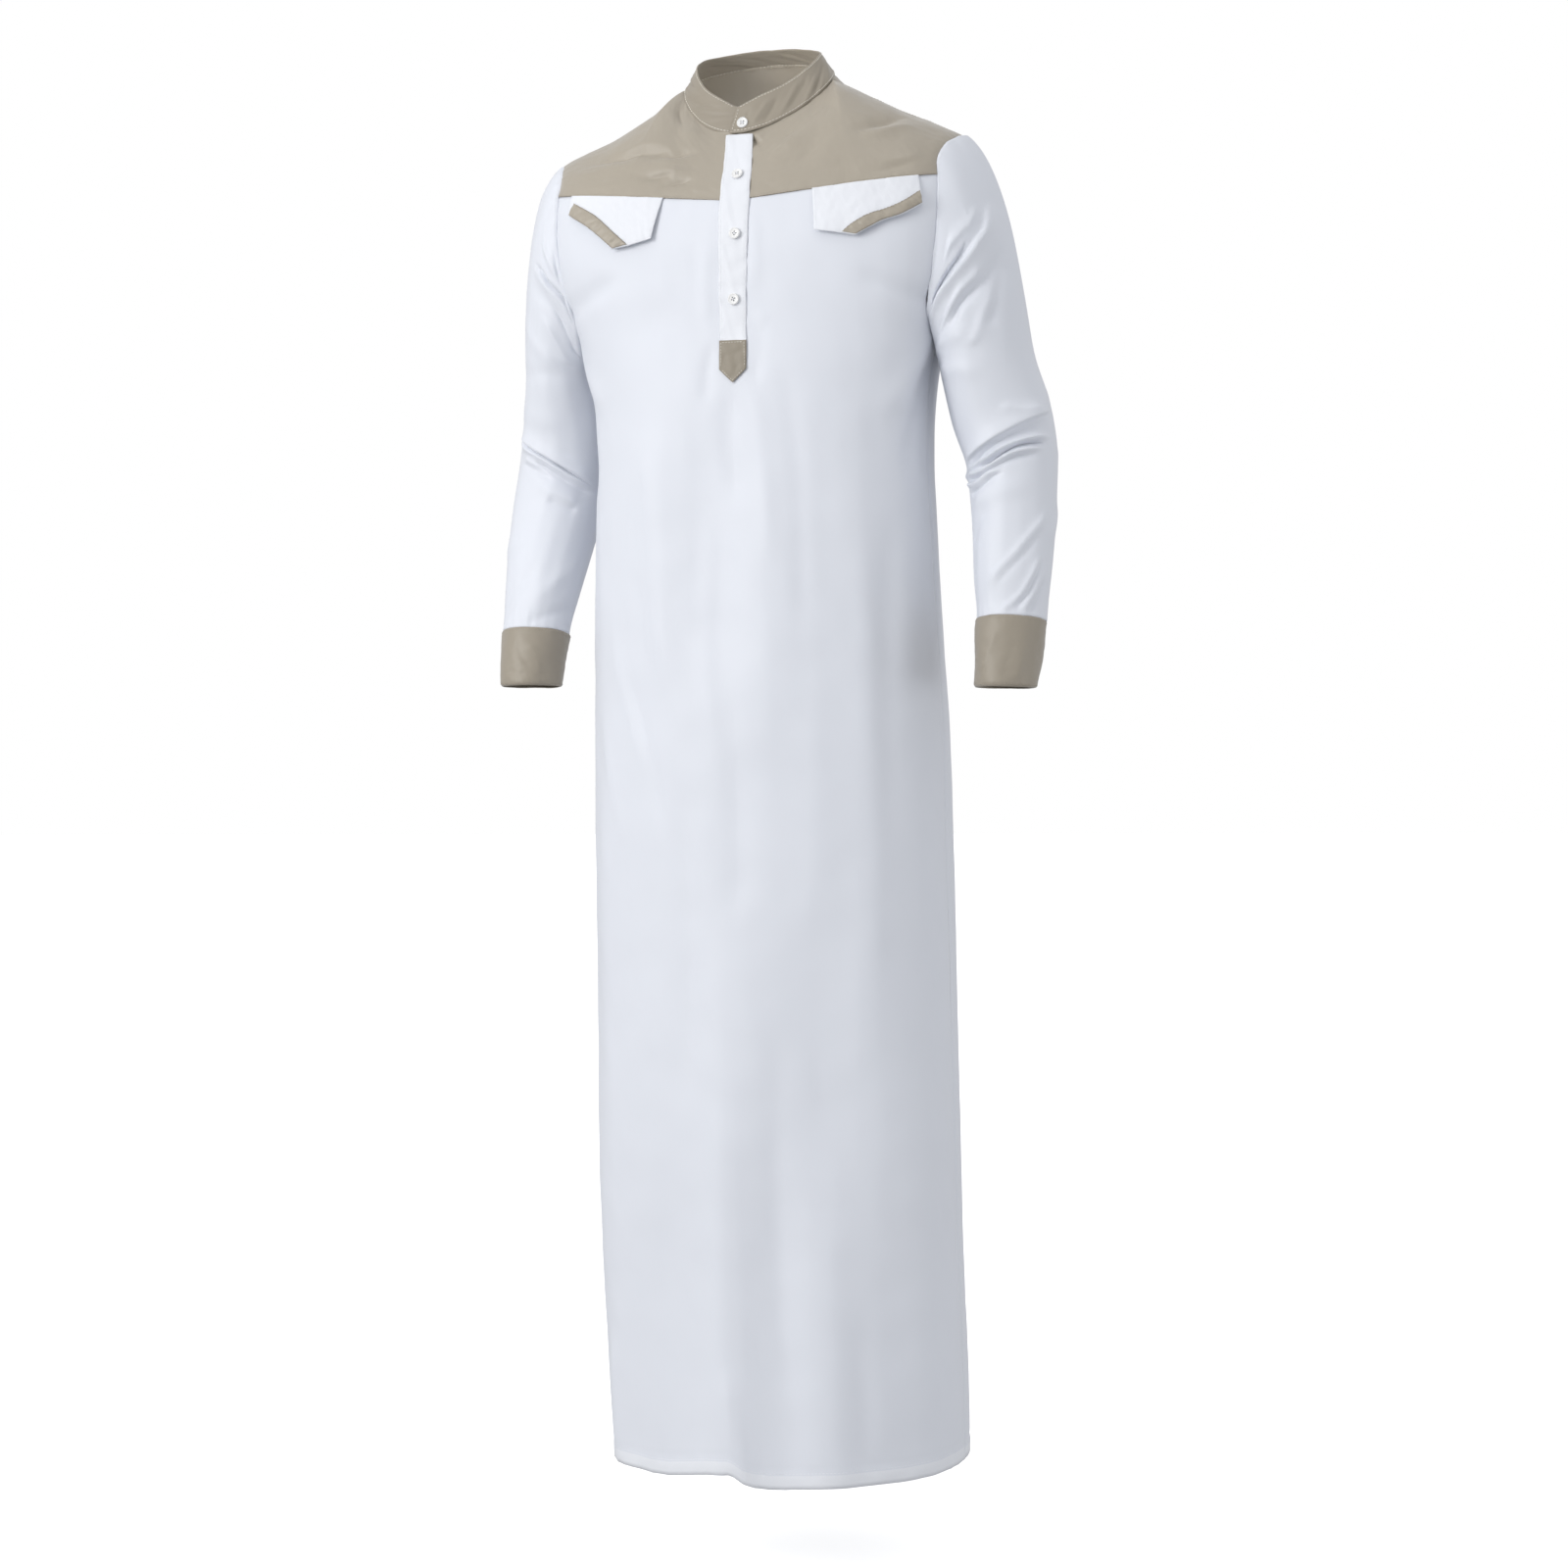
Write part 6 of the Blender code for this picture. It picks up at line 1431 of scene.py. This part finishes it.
def flap_low(side, k):
    """Free edge of a flap: straight to its point, then the curved cut."""
    low, c = np.array(FLAP[side]["low"]), FLAP[side]["corner"]
    out = []
    for col in (1, 2):
        bend = curve(low[c:, 0], low[c:, col])(np.maximum(k, low[c, 0]))
        out.append(np.where(k <= low[c, 0], np.interp(k, low[:, 0], low[:, col]), bend))
    return out


def make_flaps():
    for side in ("right", "left"):
        low, c = np.array(FLAP[side]["low"]), FLAP[side]["corner"]
        k = np.concatenate([np.linspace(0, low[c, 0], 50), np.linspace(low[c, 0], 1, 70)[1:]])
        m = np.linspace(0, 1, 56)
        K, M = np.meshgrid(k, m)
        t0 = FLAP[side]["top"][0] + (FLAP[side]["top"][1] - FLAP[side]["top"][0]) * K
        z0 = flap_top(t0)
        t1, z1 = flap_low(side, K)
        g = flap_surface(side, t0 + (t1 - t0) * M, z0 + (z1 - z0) * M, np.zeros_like(K))
        outward = 1 if normals(g)[28, 60][1] < 0 else -1
        ob = shell("pocket_flap_" + side + "_cloth", g, 0.0012, WHITE2, outward)
        carry(ob, ("pocket_flap_" + side,))
        for kw, a, b in ((dict(col=0), 2, -2), (dict(col=-1), 2, -8), (dict(row=-1), 2, 34)):
            p, o = along(g, inset=0.0026, outward=outward, lift=0.0006, **kw)
            stitch_row(p[a:b], o[a:b], "white", 0.0024, 0.0009, 0.00016)
        table = np.array(TRIM[side])
        q = np.concatenate([[0], np.cumsum(np.hypot(np.diff(table[:, 0]) * 0.28, np.diff(table[:, 1])))])
        fine = np.linspace(0, q[-1], 104)
        ut, uz, lt, lz = [curve(q, table[:, col])(fine) for col in range(4)]
        w = np.linspace(0, 1, 20)[:, None]
        t = flap_surface(side, ut + (lt - ut) * w, uz + (lz - uz) * w, np.full((20, 104), 0.0013))
        outward = 1 if normals(t)[9, 40][1] < 0 else -1
        al, ac = run_lengths(t, 1), run_lengths(t, 0)
        share = ac / ac[-1:]
        puff = 0.00055 * np.sin(share * math.pi) + 0.00052 * crumple(al + 0.4 * ac, ac * 0.25, 95 + len(side), 0.0064) * np.sin(share * math.pi * 0.8 + 0.3)
        t = t + normals(t) * outward * puff[..., None]
        ob = shell("flap_trim_" + side + "_cloth", t, 0.0011, TAN, outward)
        carry(ob, ("flap_trim_" + side,))
        for row in (0, -1):
            p, o = along(t, row=row, inset=0.0014, outward=outward, lift=0.0006)
            stitch_row(p[4:-3], o[4:-3], "tan", 0.0022, 0.0008, 0.00017)
            # dark thread rows right at the trim's edges: painted seam shadow
            p, o = along(t, row=row, inset=0.0002, outward=outward, lift=0.0004)
            stitch_row(p[2:-2], o[2:-2], "brown", 0.0034, 0.0003, 0.00022)


# ------------------------------------------------------------------ buttons
def make_button(name, centre, normal, spin=0.0):
    """Four-hole button: a turned disc with a soft raised rim and a hollowed face, its thread crossed through the holes."""
    profile = [(0.0, 0.0), (BUTTON_R * 0.80, 0.0), (BUTTON_R * 0.93, 0.0003), (BUTTON_R * 0.99, 0.0009), (BUTTON_R, 0.0014),
               (BUTTON_R * 0.985, 0.0019), (BUTTON_R * 0.95, 0.0023), (BUTTON_R * 0.90, BUTTON_T - 0.0001),
               (BUTTON_R * 0.84, BUTTON_T), (BUTTON_R * 0.79, BUTTON_T - 0.0001), (BUTTON_R * 0.74, 0.0023),
               (BUTTON_R * 0.69, 0.00215), (BUTTON_R * 0.60, 0.00208), (0.0, 0.0021)]
    n = 56
    bm = bmesh.new()
    rings = []
    for r, h in profile:
        rings.append([bm.verts.new((0, 0, h))] if r == 0 else
                     [bm.verts.new((r * math.cos(a), r * math.sin(a), h)) for a in np.linspace(0, 2 * math.pi, n, endpoint=False)])
    for lo, hi in zip(rings, rings[1:]):
        for j in range(n):
            k = (j + 1) % n
            if len(lo) == 1:
                bm.faces.new((lo[0], hi[k], hi[j]))
            elif len(hi) == 1:
                bm.faces.new((lo[j], lo[k], hi[0]))
            else:
                bm.faces.new((lo[j], lo[k], hi[k], hi[j]))
    mesh = bpy.data.meshes.new(name)
    bm.to_mesh(mesh)
    bm.free()
    ob = bpy.data.objects.new(name, mesh)
    bpy.context.scene.collection.objects.link(ob)
    bm = bmesh.new()
    for a in range(4):
        ang = math.pi / 4 + a * math.pi / 2
        off = Matrix.Translation((BUTTON_HOLE_AT * math.cos(ang), BUTTON_HOLE_AT * math.sin(ang), BUTTON_T / 2))
        bmesh.ops.create_cone(bm, cap_ends=True, segments=18, radius1=BUTTON_HOLE_R, radius2=BUTTON_HOLE_R, depth=BUTTON_T * 3, matrix=off)
    tool = bpy.data.meshes.new(name + "_tool")
    bm.to_mesh(tool)
    bm.free()
    cut = bpy.data.objects.new(name + "_tool", tool)
    bpy.context.scene.collection.objects.link(cut)
    mod = ob.modifiers.new("holes", "BOOLEAN")
    mod.object = cut
    mod.solver = "EXACT"
    deps = bpy.context.evaluated_depsgraph_get()
    done = bpy.data.meshes.new_from_object(ob.evaluated_get(deps))
    ob.modifiers.clear()
    ob.data = done
    bpy.data.objects.remove(cut, do_unlink=True)
    z = Vector(normal).normalized()
    x = Vector((0, 0, 1)).cross(z).normalized()
    y = z.cross(x)
    place = Matrix((x, y, z)).transposed().to_4x4() @ Matrix.Rotation(spin, 4, "Z")
    place.translation = Vector(centre)
    done.transform(place)
    done.materials.clear()
    done.materials.append(PEARL)
    done.polygons.foreach_set("use_smooth", [True] * len(done.polygons))
    sharp = done.attributes.new("sharp_edge", "BOOLEAN", "EDGE") if "sharp_edge" not in done.attributes else done.attributes["sharp_edge"]
    bm = bmesh.new()
    bm.from_mesh(done)
    bm.edges.ensure_lookup_table()
    flags = [bool(len(e.link_faces) == 2 and e.calc_face_angle(0) > 0.7) for e in bm.edges]
    bm.free()
    sharp.data.foreach_set("value", flags)
    carry(ob, (name.replace("_pearl", ""),))
    # thread: two crossed bars between the holes, sunk at their ends
    verts, faces = [], []
    for a in (0, 1):
        ang = math.pi / 4 + a * math.pi / 2
        for off in (-0.00022, 0.00022):
            d = np.array([math.cos(ang), math.sin(ang), 0])
            e = np.array([-math.sin(ang), math.cos(ang), 0])
            pts = []
            for q in np.linspace(-1, 1, 9):
                h = 0.0020 + 0.00030 * (1 - abs(q) ** 3) + 0.00014 * a - (0.0016 if abs(q) > 0.99 else 0)
                pts.append(d * q * BUTTON_HOLE_AT * 1.02 + e * off + np.array([0, 0, h]))
            pts = np.array(pts)
            t = np.gradient(pts, axis=0)
            t /= np.linalg.norm(t, axis=1, keepdims=True)
            up = np.cross(e, t)
            base = len(verts)
            for i in range(9):
                for b in range(6):
                    an = b * math.pi / 3
                    verts.append(pts[i] + (e * math.cos(an) + up[i] * math.sin(an)) * 0.00016)
            for i in range(8):
                for b in range(6):
                    c = (b + 1) % 6
                    faces.append((base + i * 6 + b, base + i * 6 + c, base + (i + 1) * 6 + c, base + (i + 1) * 6 + b))
            faces.append(tuple(base + b for b in reversed(range(6))))
            faces.append(tuple(base + 48 + b for b in range(6)))
    mesh = bpy.data.meshes.new(name + "_thread")
    mesh.from_pydata([tuple(map(float, v)) for v in verts], [], faces)
    mesh.transform(place)
    mesh.polygons.foreach_set("use_smooth", [True] * len(mesh.polygons))
    mesh.materials.append(THREAD_WHITE)
    th = bpy.data.objects.new(name + "_thread", mesh)
    bpy.context.scene.collection.objects.link(th)
    carry(th)
    return place


BUTTON_AT = {"button_1": (0.0030, -0.1078), "button_2": (0.0056, -0.1668), "button_3": (0.0045, -0.2312)}      # across, up


def make_buttons(collar):
    for i, (name, (x, z)) in enumerate(BUTTON_AT.items()):
        three = np.array([z + 0.004, z, z - 0.004])
        g = placket_grid(0.008, three, placket_out(three), x0=x, cols=3)
        n = np.cross(g[1, 2] - g[1, 0], g[2, 1] - g[0, 1])
        n = -n if n[1] > 0 else n
        n /= np.linalg.norm(n)
        make_button(name + "_pearl", g[1, 1] + n * (0.0008 + 0.0006), n, 0.2 + 0.5 * i)
    g, outward, j = collar
    c, du, dv = g[11, j], g[11, j + 1] - g[11, j - 1], g[14, j] - g[8, j]
    n = np.cross(du, dv)
    n = -n if n[1] > 0 else n
    n /= np.linalg.norm(n)
    make_button("button_collar_pearl", c + n * (BAND / 2 + 0.0009), n, 0.0)
    # the collar's buttonhole: a level bar of close stitches that shows past the button
    e = du / np.linalg.norm(du)
    w = np.cross(n, e)
    for q in np.linspace(-0.0060, 0.0098, 38):
        a = c + e * q + n * (BAND / 2 + 0.0001)
        row = np.linspace(-0.0011, 0.0011, 5)[:, None] * w[None]
        STITCHES["white"].append((a[None] + row, np.repeat(n[None], 5, 0), 0.00021))


# ------------------------------------------------------------------ build
make_body()
make_yokes()
make_sleeves()
COLLAR = make_collar()
make_placket()
make_flaps()
make_buttons(COLLAR)
make_stitches()

# ------------------------------------------------------------------ camera
YAW, DISTANCE, CAMERA_Z, ROLL, LENS = math.radians(18.0), 3.6, -0.5845, math.radians(1.0), 81.0
right = np.array([math.cos(YAW), math.sin(YAW), 0])
ahead = np.array([-math.sin(YAW), math.cos(YAW), 0])
eye = -ahead * DISTANCE + np.array([0, 0, CAMERA_Z])
target = right * 0.013 + np.array([0, 0, CAMERA_Z - 0.130])
f = target - eye
f /= np.linalg.norm(f)
r = np.cross(f, [0, 0, 1.0])
r /= np.linalg.norm(r)
u = np.cross(r, f)
c, s = math.cos(ROLL), math.sin(ROLL)
r2, u2 = c * r - s * u, s * r + c * u
cam = bpy.data.cameras.new("camera")
cam.lens = LENS
cam.sensor_width = 36.0
cam.clip_start = 0.05
cam.clip_end = 60.0
camera = bpy.data.objects.new("camera", cam)
bpy.context.scene.collection.objects.link(camera)
m = Matrix((r2, u2, -f)).transposed().to_4x4()
m.translation = Vector(eye)
camera.matrix_world = m
bpy.context.scene.camera = camera

# ------------------------------------------------------------------ floor and light
FLOOR_Z = HEM_Z - 0.11


def make_floor():
    """A plain pale floor."""
    bm = bmesh.new()
    side = 14.0
    bmesh.ops.create_grid(bm, x_segments=2, y_segments=2, size=side)
    mesh = bpy.data.meshes.new("floor")
    bm.to_mesh(mesh)
    bm.free()
    ob = bpy.data.objects.new("floor", mesh)
    ob.location = (0, 0, FLOOR_Z)
    bpy.context.scene.collection.objects.link(ob)
    m, nt, b = principled("floor_pale", (0.90, 0.90, 0.90), 0.9)
    b.inputs["Specular IOR Level"].default_value = 0.0
    b.inputs["Emission Color"].default_value = (1, 1, 1, 1)
    b.inputs["Emission Strength"].default_value = 0.62
    mesh.materials.append(m)
    ob.visible_diffuse = False
    ob.visible_glossy = False
    return ob


make_floor()


def area_light(name, where, aim, size, power, colour=(1, 1, 1)):
    d = bpy.data.lights.new(name, "AREA")
    d.shape = "RECTANGLE"
    d.size, d.size_y = size
    d.energy = power
    d.color = colour
    ob = bpy.data.objects.new(name, d)
    bpy.context.scene.collection.objects.link(ob)
    ob.location = where
    z = (Vector(where) - Vector(aim)).normalized()
    ob.rotation_euler = z.to_track_quat("Z", "Y").to_euler()
    return ob


def at(side, front, z):
    """A place given in the camera's own directions: metres to its right, metres towards it, height."""
    p = right * side - ahead * front
    return (float(p[0]), float(p[1]), z)


area_light("key", at(-2.5, 1.95, 0.45), (0, 0, -0.70), (1.4, 1.9), 59.0, (1.0, 0.995, 0.985))
area_light("fill", at(3.3, 1.3, -1.4), (0, 0, -1.0), (1.9, 2.4), 25.0, (0.965, 0.975, 1.0))
area_light("top", at(0.0, 0.9, 1.7), (0, 0, -0.05), (1.0, 1.0), 3.0, (1.0, 0.995, 0.98))
area_light("bounce", (0.0, -0.020, -0.115), (0.0, 0.050, 0.0), (0.10, 0.10), 0.075, (1.0, 0.985, 0.96))

world = bpy.data.worlds.new("studio")
bpy.context.scene.world = world
world.use_nodes = True
tree = world.node_tree
N, L = tree.nodes, tree.links
bg = N["Background"]
bg.inputs["Strength"].default_value = 1.0
where = N.new("ShaderNodeTexCoord")          # the studio is brighter overhead than near the floor
split = N.new("ShaderNodeSeparateXYZ")
L.new(where.outputs["Generated"], split.inputs[0])
ramp = N.new("ShaderNodeMapRange")
ramp.inputs["From Min"].default_value = -1.0
ramp.inputs["From Max"].default_value = 1.0
ramp.inputs["To Min"].default_value = 0.45
ramp.inputs["To Max"].default_value = 0.79
L.new(split.outputs["Z"], ramp.inputs["Value"])
L.new(ramp.outputs["Result"], bg.inputs["Strength"])
bg.inputs["Color"].default_value = (0.97, 0.98, 1.0, 1)
seen = N.new("ShaderNodeBackground")
seen.inputs["Color"].default_value = (1.0, 1.0, 1.0, 1)
seen.inputs["Strength"].default_value = 1.0
path = N.new("ShaderNodeLightPath")
either = N.new("ShaderNodeMixShader")
L.new(path.outputs["Is Camera Ray"], either.inputs["Fac"])
L.new(bg.outputs[0], either.inputs[1])
L.new(seen.outputs[0], either.inputs[2])
L.new(either.outputs[0], N["World Output"].inputs["Surface"])

scene = bpy.context.scene
scene.view_settings.view_transform = "Standard"
scene.view_settings.look = "None"
